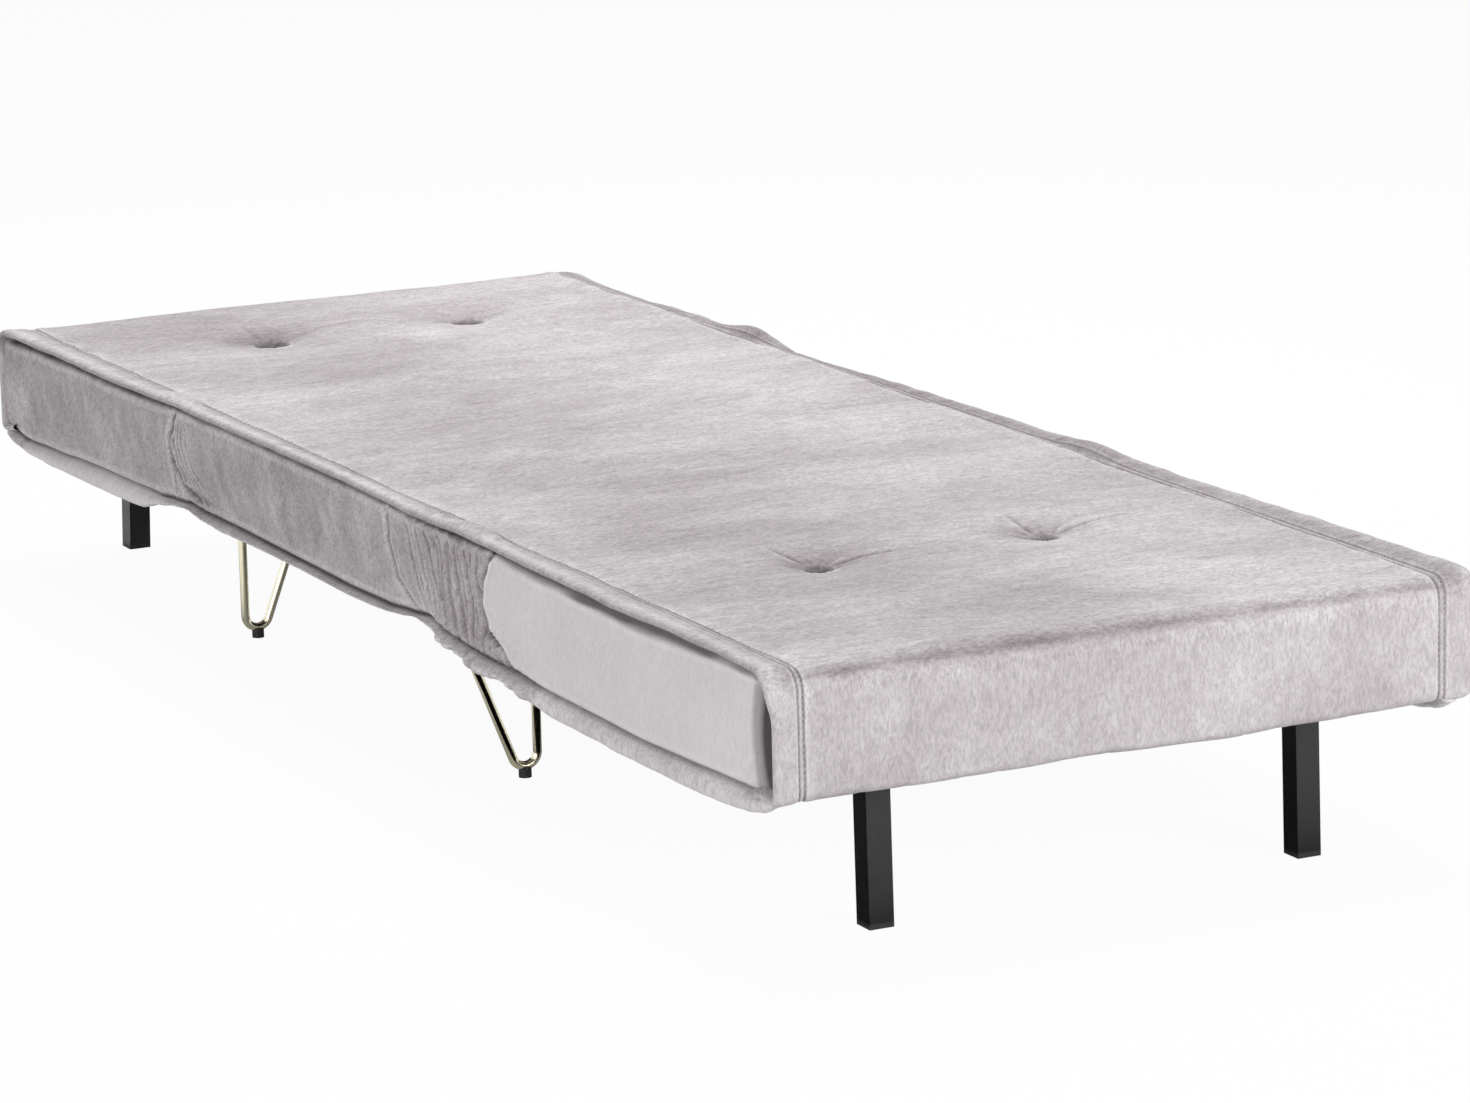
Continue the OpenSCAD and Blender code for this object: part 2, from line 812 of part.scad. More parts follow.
// Bar and nose of the pawl in its engaged place, about the pivot
module pawl_bar() {
    tip = polar(smooth_r + 1, pawl_nose_dir);
    polygon([
        tip + polar(nose_half, pawl_nose_dir - 90), tip + polar(nose_half, pawl_nose_dir + 90),
        polar(tooth_r + 3, pawl_nose_dir + 5), pawl_pin + polar(pawl_eye_r - 0.5, 100),
        pawl_pin + polar(pawl_eye_r - 0.5, 260), polar(tooth_r + 9, pawl_nose_dir - 1),
        polar(tooth_r + 4, pawl_nose_dir - 7)
    ]);
}

// Pawl drawn lifted clear of the teeth
module pawl(side) {
    translate([side > 0 ? base_rail_out : -base_rail_out - plate_t,
            back_joint + pawl_pin[0], pivot_z + pawl_pin[1]])
        difference() {
            union() {
                rotate([pawl_swing, 0, 0])
                    stand(1, plate_t)
                        translate(-pawl_pin)
                            pawl_bar();
                along_x(plate_t, pawl_eye_r);
            }
            translate([-over, 0, 0])
                along_x(plate_t + 2 * over, pawl_pin_r + bore_fit);
        }
}

module pawl_left() {
    color("darkgray")
        pawl(-1);
}

module pawl_right() {
    color("darkgray")
        pawl(1);
}

module pawl_pins() {
    color("lightgray")
        for (side = [-1, 1])
            translate([side * base_rail_out, back_joint + pawl_pin[0], pivot_z + pawl_pin[1]])
                rotate([0, side * 90, 0])
                    cylinder(h = 2 * plate_t + fit, r = pawl_pin_r);
}

// Headed pins through both plates of a joint
module pivot_pins(joint_y) {
    span = 2 * plate_t + 2 * fit;
    for (side = [-1, 1])
        translate([side * (base_rail_out - fit / 2), joint_y, pivot_z])
            rotate([0, side * 90, 0]) {
                cylinder(h = span, r = pin_r);
                translate([0, 0, -head_t])
                    cylinder(h = head_t, r = head_r);
                translate([0, 0, span])
                    cylinder(h = head_t, r = head_r);
            }
}

module back_pivot_pins() {
    color("lightgray")
        pivot_pins(back_joint);
}

module flap_pivot_pins() {
    color("lightgray")
        pivot_pins(flap_joint);
}

// Rivets through a plate and the wall of its rail
module rivets(x_out, joint_y, into) {
    for (side = [-1, 1], u = rivet_places)
        translate([side * (x_out - rail_wall - rivet_sink), joint_y + into * u, rivet_z])
            rotate([0, side * 90, 0])
                cylinder(h = plate_t + rail_wall + rivet_sink, r = rivet_r);
}

module base_rivets() {
    color("lightgray") {
        rivets(base_rail_out, back_joint, -1);
        rivets(base_rail_out, flap_joint, 1);
    }
}

module back_rivets() {
    color("lightgray")
        rivets(wing_rail_out, back_joint, 1);
}

module flap_rivets() {
    color("lightgray")
        rivets(wing_rail_out, flap_joint, -1);
}

// Folding legs

// Leg outline seen along X about its pivot: square behind the stop, round in front
module leg_outline(inward) {
    intersection() {
        union() {
            circle(r = leg_half);
            translate([inward < 0 ? 0 : -leg_half, 0])
                square([leg_half, leg_half]);
            translate([-leg_half, -2 * leg_pivot_z])
                square([leg_tube, 2 * leg_pivot_z]);
        }
        union() {
            circle(r = leg_stop_r);
            translate([-leg_half, -2 * leg_pivot_z])
                square([leg_tube, 2 * leg_pivot_z]);
        }
    }
}

// Leg tube in its leaning place, cut flat above its end plug and at the stop under its bracket
module leg(side, leg_y, inward, lean) {
    difference() {
        translate([side * leg_x - leg_half, leg_y, leg_pivot_z])
            rotate([-inward * lean, 0, 0])
                stand(1, leg_tube)
                    leg_outline(inward);
        translate([side * leg_x, leg_y, leg_pivot_z])
            rotate([-inward * lean, 0, 0])
                translate([-leg_half + leg_wall, -leg_half + leg_wall, -2 * leg_pivot_z - over])
                    cube([leg_tube - 2 * leg_wall, leg_tube - 2 * leg_wall, 3 * leg_pivot_z]);
        translate([side * leg_x - leg_tube, leg_y - 2 * leg_pivot_z, -3 * leg_pivot_z + plug_h])
            cube([2 * leg_tube, 4 * leg_pivot_z, 3 * leg_pivot_z]);
        translate([side * leg_x - leg_tube, leg_y - leg_tube, leg_pivot_z + leg_half])
            cube([2 * leg_tube, 2 * leg_tube, leg_half]);
        translate([side * leg_x - leg_tube, leg_y, leg_pivot_z])
            along_x(2 * leg_tube, bolt_r + bore_fit);
    }
}

// Plug of a leg: a pad under the tube and a spigot inside it
module leg_plug(side, leg_y, inward, lean) {
    intersection() {
        translate([side * leg_x, leg_y, leg_pivot_z])
            rotate([-inward * lean, 0, 0]) {
                translate([-leg_half, -leg_half, -2 * leg_pivot_z])
                    cube([leg_tube, leg_tube, 2 * leg_pivot_z]);
            }
        union() {
            translate([side * leg_x - leg_tube, leg_y - leg_pivot_z, 0])
                cube([2 * leg_tube, 2 * leg_pivot_z, plug_h]);
            translate([side * leg_x, leg_y, leg_pivot_z])
                rotate([-inward * lean, 0, 0])
                    translate([-spigot_half, -spigot_half, plug_h - 1 - leg_pivot_z])
                        cube([2 * spigot_half, 2 * spigot_half, spigot_len + 1]);
        }
    }
}

// Channel bracket under the frame, with a slanting lower edge on both cheeks
module leg_bracket(side, leg_y, inward) {
    translate([side * leg_x, leg_y, leg_pivot_z])
        difference() {
            union() {
                translate([-cheek_out, -cheek_reach, rail_z - bracket_t - leg_pivot_z])
                    cube([2 * cheek_out, 2 * cheek_reach, bracket_t]);
                for (x = [-cheek_out, cheek_in])
                    translate([x, 0, 0])
                        stand(inward, bracket_t)
                            polygon([
                                [-cheek_reach, rail_z - leg_pivot_z], [-cheek_reach, -cheek_drops[0]],
                                [cheek_reach, -cheek_drops[1]], [cheek_reach, rail_z - leg_pivot_z]
                            ]);
            }
            translate([-cheek_out - over, 0, 0])
                along_x(2 * cheek_out + 2 * over, bolt_r + bore_fit);
        }
}

// Pivot bolts of one pair of legs
module leg_bolts(leg_y) {
    for (side = [-1, 1])
        translate([side * leg_x - cheek_out, leg_y, leg_pivot_z])
            rotate([0, 90, 0]) {
                cylinder(h = 2 * cheek_out, r = bolt_r);
                translate([0, 0, -bolt_head_t])
                    cylinder(h = bolt_head_t, r = bolt_head_r);
                translate([0, 0, 2 * cheek_out])
                    cylinder(h = bolt_head_t, r = bolt_head_r);
            }
}

module back_leg_bracket_left() {
    color("black")
        leg_bracket(-1, back_leg_y, -1);
}

module back_leg_bracket_right() {
    color("black")
        leg_bracket(1, back_leg_y, -1);
}

module back_leg_bolts() {
    color("lightgray")
        leg_bolts(back_leg_y);
}

module back_leg_left() {
    color("black")
        leg(-1, back_leg_y, -1, back_leg_lean);
}

module back_leg_right() {
    color("black")
        leg(1, back_leg_y, -1, back_leg_lean);
}

module back_leg_plug_left() {
    color("black")
        leg_plug(-1, back_leg_y, -1, back_leg_lean);
}

module back_leg_plug_right() {
    color("black")
        leg_plug(1, back_leg_y, -1, back_leg_lean);
}

module flap_leg_bracket_left() {
    color("black")
        leg_bracket(-1, flap_leg_y, 1);
}

module flap_leg_bracket_right() {
    color("black")
        leg_bracket(1, flap_leg_y, 1);
}

module flap_leg_bolts() {
    color("lightgray")
        leg_bolts(flap_leg_y);
}

module flap_leg_left() {
    color("black")
        leg(-1, flap_leg_y, 1, flap_leg_lean);
}

module flap_leg_right() {
    color("black")
        leg(1, flap_leg_y, 1, flap_leg_lean);
}

module flap_leg_plug_left() {
    color("black")
        leg_plug(-1, flap_leg_y, 1, flap_leg_lean);
}

module flap_leg_plug_right() {
    color("black")
        leg_plug(1, flap_leg_y, 1, flap_leg_lean);
}

// Hairpin legs

// Direction across the bed in which a hairpin's inclined rod goes up
function slant_way(y, side) = y == hairpin_rear_y ? -side : side;
function screw_places(y, side) =
    [for (s = screw_shares) side * hairpin_x + slant_way(y, side) * (s * (slant_top + bend_r) - bend_r)];

// Bent rod with an upright and an inclined side, each a hair slimmer than the bend it enters
module hairpin_rod() {
    translate([-bend_r, 0, bend_z - 10 * rod_step])
        cylinder(h = mount_z - bend_z + 10 * rod_step, r = rod_r - rod_step);
    translate([0, 0, bend_z])
        rotate([90, 0, 0])
            rotate([0, 0, 180])
                rotate_extrude(angle = 180 - rod_slant)
                    translate([bend_r, 0])
                        circle(r = rod_r);
    intersection() {
        translate([slant_x, 0, slant_z])
            rotate([0, rod_slant, 0])
                translate([0, 0, -10 * rod_step])
                    cylinder(h = 2 * (mount_z - slant_z), r = rod_r - rod_step);
        translate([-bend_r, -rod_d, 0])
            cube([3 * slant_top, 2 * rod_d, mount_z + mount_t / 2]);
    }
}

// Box of a hairpin's mounting plate, grown on all sides and by more below
module mount_box(grow, below) {
    translate([-bend_r - mount_margin - grow, -mount_depth / 2 - grow, mount_z - below])
        cube([slant_top + bend_r + 2 * mount_margin + 2 * grow, mount_depth + 2 * grow,
            mount_t + grow + below]);
}

module at_hairpin(y, side) {
    translate([side * hairpin_x, y, 0])
        mirror([slant_way(y, side) < 0 ? 1 : 0, 0, 0])
            children();
}

module mount_cuts() {
    for (y = [hairpin_front_y, hairpin_rear_y], side = [-1, 1])
        at_hairpin(y, side)
            mount_box(fit, mount_z - bend_z);
}

module hairpin(y, side) {
    difference() {
        at_hairpin(y, side) {
            hairpin_rod();
            mount_box(0, 0);
        }
        for (p = screw_places(y, side))
            translate([p, y, mount_z - over])
                cylinder(h = mount_t + 2 * over, r = screw_r + bore_fit);
    }
}

module hairpin_rear_left() {
    color("goldenrod")
        hairpin(hairpin_rear_y, -1);
}

module hairpin_rear_right() {
    color("goldenrod")
        hairpin(hairpin_rear_y, 1);
}

module hairpin_front_left() {
    color("goldenrod")
        hairpin(hairpin_front_y, -1);
}

module hairpin_front_right() {
    color("goldenrod")
        hairpin(hairpin_front_y, 1);
}

// Rubber feet, grooved for the bend of the rod
module hairpin_feet() {
    color("black")
        for (y = [hairpin_front_y, hairpin_rear_y], side = [-1, 1])
            translate([side * hairpin_x, y, 0])
                difference() {
                    cylinder(h = foot_h + foot_lip, r = foot_r);
                    translate([0, 0, bend_z])
                        rotate([90, 0, 0])
                            rotate_extrude()
                                translate([bend_r, 0])
                                    circle(r = rod_r + fit / 2);
                }
}

module hairpin_screws() {
    color("lightgray")
        for (y = [hairpin_front_y, hairpin_rear_y], side = [-1, 1], p = screw_places(y, side))
            translate([p, y, mount_z - screw_head_t]) {
                cylinder(h = screw_head_t, r = 2 * screw_r);
                cylinder(h = screw_head_t + mount_t + screw_grip, r = screw_r);
            }
}

base_frame();
base_slats();
base_foam();
base_cover();
base_dust_cloth();
base_ratchet_plate_left();
base_ratchet_plate_right();
base_flap_plate_left();
base_flap_plate_right();
base_rivets();
back_pivot_pins();
flap_pivot_pins();
hairpin_rear_left();
hairpin_rear_right();
hairpin_front_left();
hairpin_front_right();
hairpin_feet();
hairpin_screws();
back_frame();
back_slats();
back_foam();
back_under_pad();
back_cover();
back_tuft_buttons();
back_tuft_ties();
back_hinge_plate_left();
back_hinge_plate_right();
back_rivets();
pawl_pins();
pawl_left();
pawl_right();
back_leg_bracket_left();
back_leg_bracket_right();
back_leg_bolts();
back_leg_left();
back_leg_right();
back_leg_plug_left();
back_leg_plug_right();
flap_frame();
flap_slats();
flap_foam();
flap_under_pad();
flap_cover();
flap_tuft_buttons();
flap_tuft_ties();
flap_hinge_plate_left();
flap_hinge_plate_right();
flap_rivets();
flap_leg_bracket_left();
flap_leg_bracket_right();
flap_leg_bolts();
flap_leg_left();
flap_leg_right();
flap_leg_plug_left();
flap_leg_plug_right();
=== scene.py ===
import json
import math

import bmesh
import bpy
import numpy as np
from mathutils import Matrix, Vector


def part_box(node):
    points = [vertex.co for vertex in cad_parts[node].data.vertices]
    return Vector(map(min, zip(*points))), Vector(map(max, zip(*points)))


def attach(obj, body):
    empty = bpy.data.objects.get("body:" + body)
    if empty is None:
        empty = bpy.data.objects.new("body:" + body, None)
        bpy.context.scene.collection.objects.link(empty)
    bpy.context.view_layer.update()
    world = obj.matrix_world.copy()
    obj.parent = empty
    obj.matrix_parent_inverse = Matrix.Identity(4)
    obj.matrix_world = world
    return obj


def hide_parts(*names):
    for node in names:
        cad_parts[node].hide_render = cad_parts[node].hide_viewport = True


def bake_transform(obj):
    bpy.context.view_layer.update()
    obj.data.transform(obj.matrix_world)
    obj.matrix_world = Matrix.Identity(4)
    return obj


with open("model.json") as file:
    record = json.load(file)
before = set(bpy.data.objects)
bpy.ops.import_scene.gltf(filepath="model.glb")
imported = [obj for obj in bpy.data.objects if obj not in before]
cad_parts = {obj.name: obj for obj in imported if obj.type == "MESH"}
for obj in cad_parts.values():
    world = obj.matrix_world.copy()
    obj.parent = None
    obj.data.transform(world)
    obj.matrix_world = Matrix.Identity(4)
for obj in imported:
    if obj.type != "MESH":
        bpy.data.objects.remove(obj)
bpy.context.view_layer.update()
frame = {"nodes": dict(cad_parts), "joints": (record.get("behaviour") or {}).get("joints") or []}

NODES = frame["nodes"]


def box_mm(node):
    """The two corners of a node's box, in millimetres."""
    return [[round(1000 * v, 1) for v in corner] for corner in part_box(node)]


def joint_mm(name):
    """Where a joint lies, in millimetres."""
    return [round(1000 * v, 1) for v in next(j["pos_m"] for j in frame["joints"] if j["name"] == name)]


def tuft_mm(node):
    """How far a node's two buttons lie from the middle line, and where they lie along the bed."""
    low, high = box_mm(node)
    return high[0] - (high[1] - low[1]) / 2, (low[1] + high[1]) / 2


# Sizes in millimetres. The bed lies along y with its head end at the greater values, and x runs across it.
LIP, HEAD = box_mm("back_cover")[1][:2]
FOOT = box_mm("flap_cover")[0][1]
BACK_JOINT, FLAP_JOINT = joint_mm("backrest_hinge")[1], joint_mm("foot_section_hinge")[1]
LEG_X, BACK_LEG = joint_mm("rear_leg_right_hinge")[:2]
FLAP_LEG = joint_mm("front_leg_right_hinge")[1]
TUFTS = [tuft_mm("back_tuft_buttons"), tuft_mm("flap_tuft_buttons")]
TUFT_X, BACK_TUFT, FLAP_TUFT = TUFTS[0][0], TUFTS[0][1], TUFTS[1][1]

# Height of the top's cloth at its long seams, and how far these lie from the middle line
SEAM_Z, PANEL = 265.0, 333.5
# Half the distance between a seam's two rows of stitches
ROW = 3.2
# Where the two halves of the cover meet
CUT = 74.0
# A millimetre in the scene's metres
MM = 0.001


def smooth(t):
    """A soft step from 0 to 1."""
    t = np.clip(t, 0, 1)
    return t * t * (3 - 2 * t)


def bell(x, width):
    """1 at nought, and falling to 0 on both sides of it."""
    return np.exp(-(x / width) ** 2)


def waves(seed, low, high, count=7):
    """A smooth random function of two coordinates, with wavelengths between low and high."""
    random = np.random.default_rng(seed)
    angle = random.uniform(0, 2 * math.pi, count)
    k = 2 * math.pi / random.uniform(low, high, count)
    phase = random.uniform(0, 2 * math.pi, count)

    def field(a, b=0.0):
        total = 0
        for i in range(count):
            total = total + np.sin(k[i] * (a * np.cos(angle[i]) + b * np.sin(angle[i])) + phase[i])
        return total / math.sqrt(count)

    return field


def line_waves(seed, low, high, count=6):
    """A smooth random function of one coordinate."""
    random = np.random.default_rng(seed)
    k = 2 * math.pi / random.uniform(low, high, count)
    phase = random.uniform(0, 2 * math.pi, count)

    def field(a):
        return sum(np.sin(k[i] * a + phase[i]) for i in range(count)) / math.sqrt(count)

    return field


def creases(field, sharp=3.0):
    """Thin lines, 1 on them and 0 away from them, where a smooth random function is nought."""
    return np.clip(1 - sharp * np.abs(field), 0, 1) ** 1.6


def pleat(u):
    """Rounded tops with sharp valleys, from 0 in the valleys to 1."""
    return np.abs(np.sin(math.pi * u)) ** 0.7


def cavity(h, strength, reach=3, axes=(0, 1)):
    """Painted shade in the valleys of a surface and painted highlights on its ridges, from its height over
    a grid.
    """
    darkest, lightest = -0.42, 0.3
    count = 2 * reach + 1
    around = h
    for axis in axes:
        pad = [(reach, reach) if k == axis else (0, 0) for k in (0, 1)]
        wide = np.pad(around, pad, "edge")
        around = sum(np.take(wide, range(k, k + h.shape[axis]), axis) for k in range(count)) / count
    return np.clip(strength * (h - around), darkest, lightest)


def table(pairs):
    """A function that joins the given places and values by soft steps."""
    at, value = zip(*sorted(pairs))
    soft = 0.65

    def joined(x):
        i = np.clip(np.searchsorted(at, x) - 1, 0, len(at) - 2)
        a, b = np.take(at, i), np.take(at, i + 1)
        t = np.clip((x - a) / (b - a), 0, 1)
        t = (1 - soft) * t + soft * smooth(t)
        return np.take(value, i) * (1 - t) + np.take(value, i + 1) * t

    return joined


def graded(low, high, spacing):
    """Places from low to high whose spacing follows a function."""
    x = np.linspace(low, high, 6001)
    total = np.concatenate([[0], np.cumsum(np.diff(x) / spacing((x[1:] + x[:-1]) / 2))])
    count = int(math.ceil(total[-1]))
    return np.interp(np.linspace(0, total[-1], count + 1), total, x)


def rounded(corners, radii, step=0.5):
    """A path of lines and arcs through corner points: length along it, place and outward normal."""
    points = [np.array(corners[0], float)]
    for i in range(1, len(corners) - 1):
        a, b, c = (np.array(corners[j], float) for j in (i - 1, i, i + 1))
        u, v = (a - b) / np.linalg.norm(a - b), (c - b) / np.linalg.norm(c - b)
        half = math.acos(np.clip(u @ v, -1, 1)) / 2
        centre = b + (u + v) / np.linalg.norm(u + v) * radii[i] / math.sin(half)
        back = radii[i] / math.tan(half)
        p, q = b + u * back - centre, b + v * back - centre
        first, last = math.atan2(p[1], p[0]), math.atan2(q[1], q[0])
        turn = (last - first + math.pi) % (2 * math.pi) - math.pi
        for t in np.linspace(0, 1, 24):
            angle = first + turn * t
            points.append(centre + radii[i] * np.array([math.cos(angle), math.sin(angle)]))
    points.append(np.array(corners[-1], float))
    points = np.array(points)
    s = np.concatenate([[0], np.cumsum(np.linalg.norm(np.diff(points, axis=0), axis=1))])
    keep = np.concatenate([[True], np.diff(s) > 1e-6])
    s, points = s[keep], points[keep]
    dense = np.arange(0, s[-1], step)
    y, z = np.interp(dense, s, points[:, 0]), np.interp(dense, s, points[:, 1])
    # the direction is averaged over a few steps, so that lines run softly into arcs
    kernel = np.ones(7) / 7
    ty, tz = (np.convolve(np.pad(np.gradient(g), 3, "edge"), kernel, "valid") for g in (y, z))
    length = np.hypot(ty, tz)
    return dense, y, z, tz / length, -ty / length


# The top's cloth, from under the head end, up its face, along the top and down to under the foot end
PATH = rounded(
    corners=[
        (HEAD - 40, 156), (HEAD - 1, 149), (HEAD - 1, SEAM_Z),
        (FOOT + 1, SEAM_Z), (FOOT + 1, 149), (FOOT + 40, 151),
    ],
    radii=[0, 9, 17, 19, 8, 0],
)


def spaced(at, plain, stretches):
    """Spacing of a mesh: the plain one, and others in stretches given as low, high and spacing."""
    step = np.full_like(at, plain)
    for low, high, spacing in stretches:
        step = np.where((at > low) & (at < high), spacing, step)
    return step


def beside(middle, *reaches):
    """Stretches on both sides of a place, from reaches and spacings."""
    return [(middle - reach, middle + reach, spacing) for reach, spacing in reaches]


def path_spacing(s):
    """Spacing of the top's rows: close at the tufts, at the joints and on the end faces."""
    y, z = np.interp(s, PATH[0], PATH[1]), np.interp(s, PATH[0], PATH[2])
    tufts = beside(BACK_TUFT, (60, 3.4), (21, 1.6)) + beside(FLAP_TUFT, (60, 3.0), (21, 1.6))
    step = spaced(y, 6.0, tufts + [(-440, -140, 3.4), (380, 500, 3.6)])
    step = np.where(z < SEAM_Z - 0.5, 3.2, step)
    return np.where((np.abs(y) > 925) & (z > 235), 2.2, step)


def column_spacing(x):
    """Spacing of the top's columns, close at the tufts."""
    return spaced(x, 6.5, beside(TUFT_X, (50, 3.2), (21, 1.6)))


# Rows of the top's mesh: length along the path, place and outward normal
S = graded(0, PATH[0][-1], path_spacing)
SY, SZ, NY, NZ = (np.interp(S, PATH[0], p) for p in PATH[1:])

# Columns beside a long seam, and the turned edge of the strip outside it, as distance and depth
SEAM_COLUMNS = [
    326.5, 328.2, 329.3, 330.3, 331.3, 332.4, 333.5, 334.6, 335.7, 336.7, 337.7, 339, 341, 343.8, 347,
    350.5, 354, 357.5, 360.5, 363.5,
]
STRIP_EDGE = [
    (366, -0.2), (369, -0.7), (371.2, -1.7), (372.4, -3.2), (372.3, -4.8), (370.8, -6.6), (366, -8.4),
    (357, -9.6), (346, -10),
]
PLAIN_COLUMNS = list(graded(0, 324, column_spacing))[1:]
RIGHT_X = np.array(PLAIN_COLUMNS + SEAM_COLUMNS + [x for x, z in STRIP_EDGE])
RIGHT_DEPTH = np.array([0.0] * len(PLAIN_COLUMNS + SEAM_COLUMNS) + [z for x, z in STRIP_EDGE])
XS = np.concatenate([-RIGHT_X[::-1], [0], RIGHT_X])
DEPTH = np.concatenate([RIGHT_DEPTH[::-1], [0], RIGHT_DEPTH])

# The strip's outer edge by the length of the bed: how far out it lies, and how high above the seam
STRIP_OUT = {
    -1: table([
        (-966, 372.5), (-700, 371), (-400, 366), (-100, 361), (100, 361), (400, 365), (700, 369),
        (966, 371),
    ]),
    1: table([(-966, 372.5), (-700, 372), (-400, 370), (0, 366), (400, 364), (700, 367), (966, 370)]),
}
STRIP_UP = {
    -1: table([
        (966, 4), (885, 5), (740, 5.8), (646, 4.4), (555, 5.4), (418, 7), (335, 7), (130, 6.5), (10, 7.2),
        (-66, 6), (-178, 3.9), (-286, 6), (-356, 7.6), (-459, 6.2), (-558, 6.3), (-600, 7.2), (-655, 5.6),
        (-779, 8.6), (-869, 8.4), (-966, 7),
    ]),
    1: table([
        (966, -2.5), (874, -6.2), (738, -6), (672, -3), (607, -2.4), (530, -3), (481, -4.5), (454, -5),
        (358, -6.4), (239, -4), (123, -1.7), (11, -0.4), (-97, 0.8), (-501, 1.2), (-595, 2.3), (-731, 3.8),
        (-945, 5),
    ]),
}
# Where the hinge eyes lie under the strip, and how far the cloth rises over them
EYE_X, EYE_RISE = 347.2, 9.9


def strip_up(y, side):
    """Height of the strip's outer edge above the seam."""
    return STRIP_UP[side](y) + 0.35 * line_waves(31 + side, 40, 130)(y)


def strip(x, y, z, side, on_top):
    """Height of the padded strip outside a long seam, and the place of its points across the bed."""
    off = side * x
    full = np.clip((off - PANEL) / (LIP - PANEL), 0, 1)
    up = strip_up(y, side) * on_top + (1 - on_top) * 1.5
    if side < 0:
        height = up * full ** 1.15 + 1.3 * np.sin(math.pi * full) ** 0.9
    else:
        height = up * np.minimum(full / 0.55, 1.15) ** 1.2 - 4.5 * np.clip((full - 0.5) / 0.5, 0, 1) ** 2
        height = height + 1.2 * np.sin(math.pi * full) ** 0.9
    # slanting folds, deepest beside the joints
    near_joint = 0.55 + 1.9 * bell(y + 275, 95) + 1.1 * bell(y - 430, 60) + 0.5 * bell(y - 60, 120)
    slant = y + 0.9 * side * x
    broad = waves(44 + side, 26, 70)(slant, 0.35 * x)
    fine = waves(46 + side, 12, 26)(slant, 0.3 * x)
    body = np.sin(math.pi * np.clip(full, 0.02, 1)) ** 0.7
    folds = 0.9 * creases(broad, 2.2) + 0.4 * creases(fine, 2.0) - 0.35 * broad
    height = height - body * on_top * near_joint * folds
    # the left strip narrows as it runs down the foot end
    edge = STRIP_OUT[side](y) - 12 * smooth((268 - z) / 52) * (y < -930) * (side < 0)
    moved = PANEL + (off - PANEL) * (edge - PANEL) / (LIP - PANEL)
    for joint in (BACK_JOINT, FLAP_JOINT):
        over_eye = bell(y - joint, 44 if side < 0 else 60) * bell(moved - EYE_X, 13) * on_top
        height = height * (1 - over_eye) + EYE_RISE * over_eye
    return height, side * np.where(off > PANEL, moved, off)


def end_sag(x):
    """How far the lower edge of the foot end sags between its corners."""
    return 6 * np.clip(1 - ((x - 60) / 330) ** 2, 0, 1) + 4.5 * smooth((-x - 60) / 200)


def wrapped(angle):
    """The same angle between minus and plus half a turn."""
    return (angle + math.pi) % (2 * math.pi) - math.pi


def tuft_marks(x, y, tuft_x, tuft_y, side):
    """One tuft's marks in the cloth round it: depth, painted shade and highlights, and share of plain
    bright cloth that paints the near rim's highlight.
    """
    # the head end's tufts are wider and their lines are fainter
    wide, lined = (1.4, 0.4) if tuft_y > 0 else (1.0, 1.0)
    dx, dy = (x - side * tuft_x) / wide, (y - tuft_y) / wide
    r = np.hypot(dx, dy)
    angle = np.arctan2(dy, dx)
    random = np.random.default_rng(int(50 + tuft_x + abs(tuft_y) / 7 + side * 3))
    short = 0
    for _ in range(17):
        start = random.uniform(-math.pi, math.pi)
        aside = wrapped(angle - start + 0.006 * (r - 20) * random.uniform(-1, 1))
        strength, width, reach = (random.uniform(*ends) for ends in ((0.3, 1.0), (0.05, 0.12), (20, 46)))
        short = short + strength * bell(aside, width) * smooth((r - 11) / 7) * np.exp(-(r / reach) ** 1.6)
    deep, shade = 0, 0
    # two long creases, one across the bed and one along it, with painted shade in them and a painted
    # highlight beside them
    for start, length in ((0.36, 118), (1.75, 92)):
        start = start + random.uniform(-0.15, 0.15)
        aside = wrapped(angle - start + 0.0022 * (r - 40)) * r
        along = smooth((r - 14) / 16) * smooth((length - r) / 50)
        deep = deep + 2.0 * lined * bell(aside, 3.4) * along
        shade = shade - lined * (0.28 * bell(aside, 3.4) - 0.2 * bell(aside - 5.5, 2.6)) * along
    hole = smooth((15.5 - r) / 6.5)
    deep = deep + 9.5 * np.exp(-(r / 37) ** 1.6) + 12.5 * hole + 1.5 * lined * short * (1 - hole)
    # painted shade on the far side and in the hole, and a painted highlight on the near rim
    far = smooth(0.5 + 0.75 * dy / (r + 2))
    dark = 0.60 * np.exp(-(np.maximum(r - 9, 0) / 35) ** 1.4) + 0.5 * bell(r - 10, 6) + 0.2 * lined * short
    rim = bell(r - 19, 4.2) * smooth((-dy - 8) / 6) * bell(dx - 1, 10)
    near = 0.8 * rim - 0.5 * bell(r - 12.5, 2.2) * smooth((-dy - 4) / 6)
    return deep, shade - far * dark - 0.25 * hole + near, 1.9 * rim


def pair_creases(x, y, tuft_x, tuft_y):
    """Depth of the faint creases through both tufts of a pair, and of the dip between them."""
    off = np.abs(x)
    deep = bell(y - tuft_y, 34) * bell(x, 170)
    where = smooth((300 - off) / 140) * (0.5 + 0.5 * bell(off - tuft_x, 90))
    for k in range(7):
        random = np.random.default_rng(int(80 + k + abs(tuft_y)))
        shift, slope, middle = (random.uniform(-most, most) for most in (40, 0.12, 200))
        centre = tuft_y + shift + slope * (x - middle) + 3 * line_waves(90 + k, 90, 260)(x)
        deep = deep + 0.45 * bell(y - centre, random.uniform(2.5, 6)) * where
    return deep


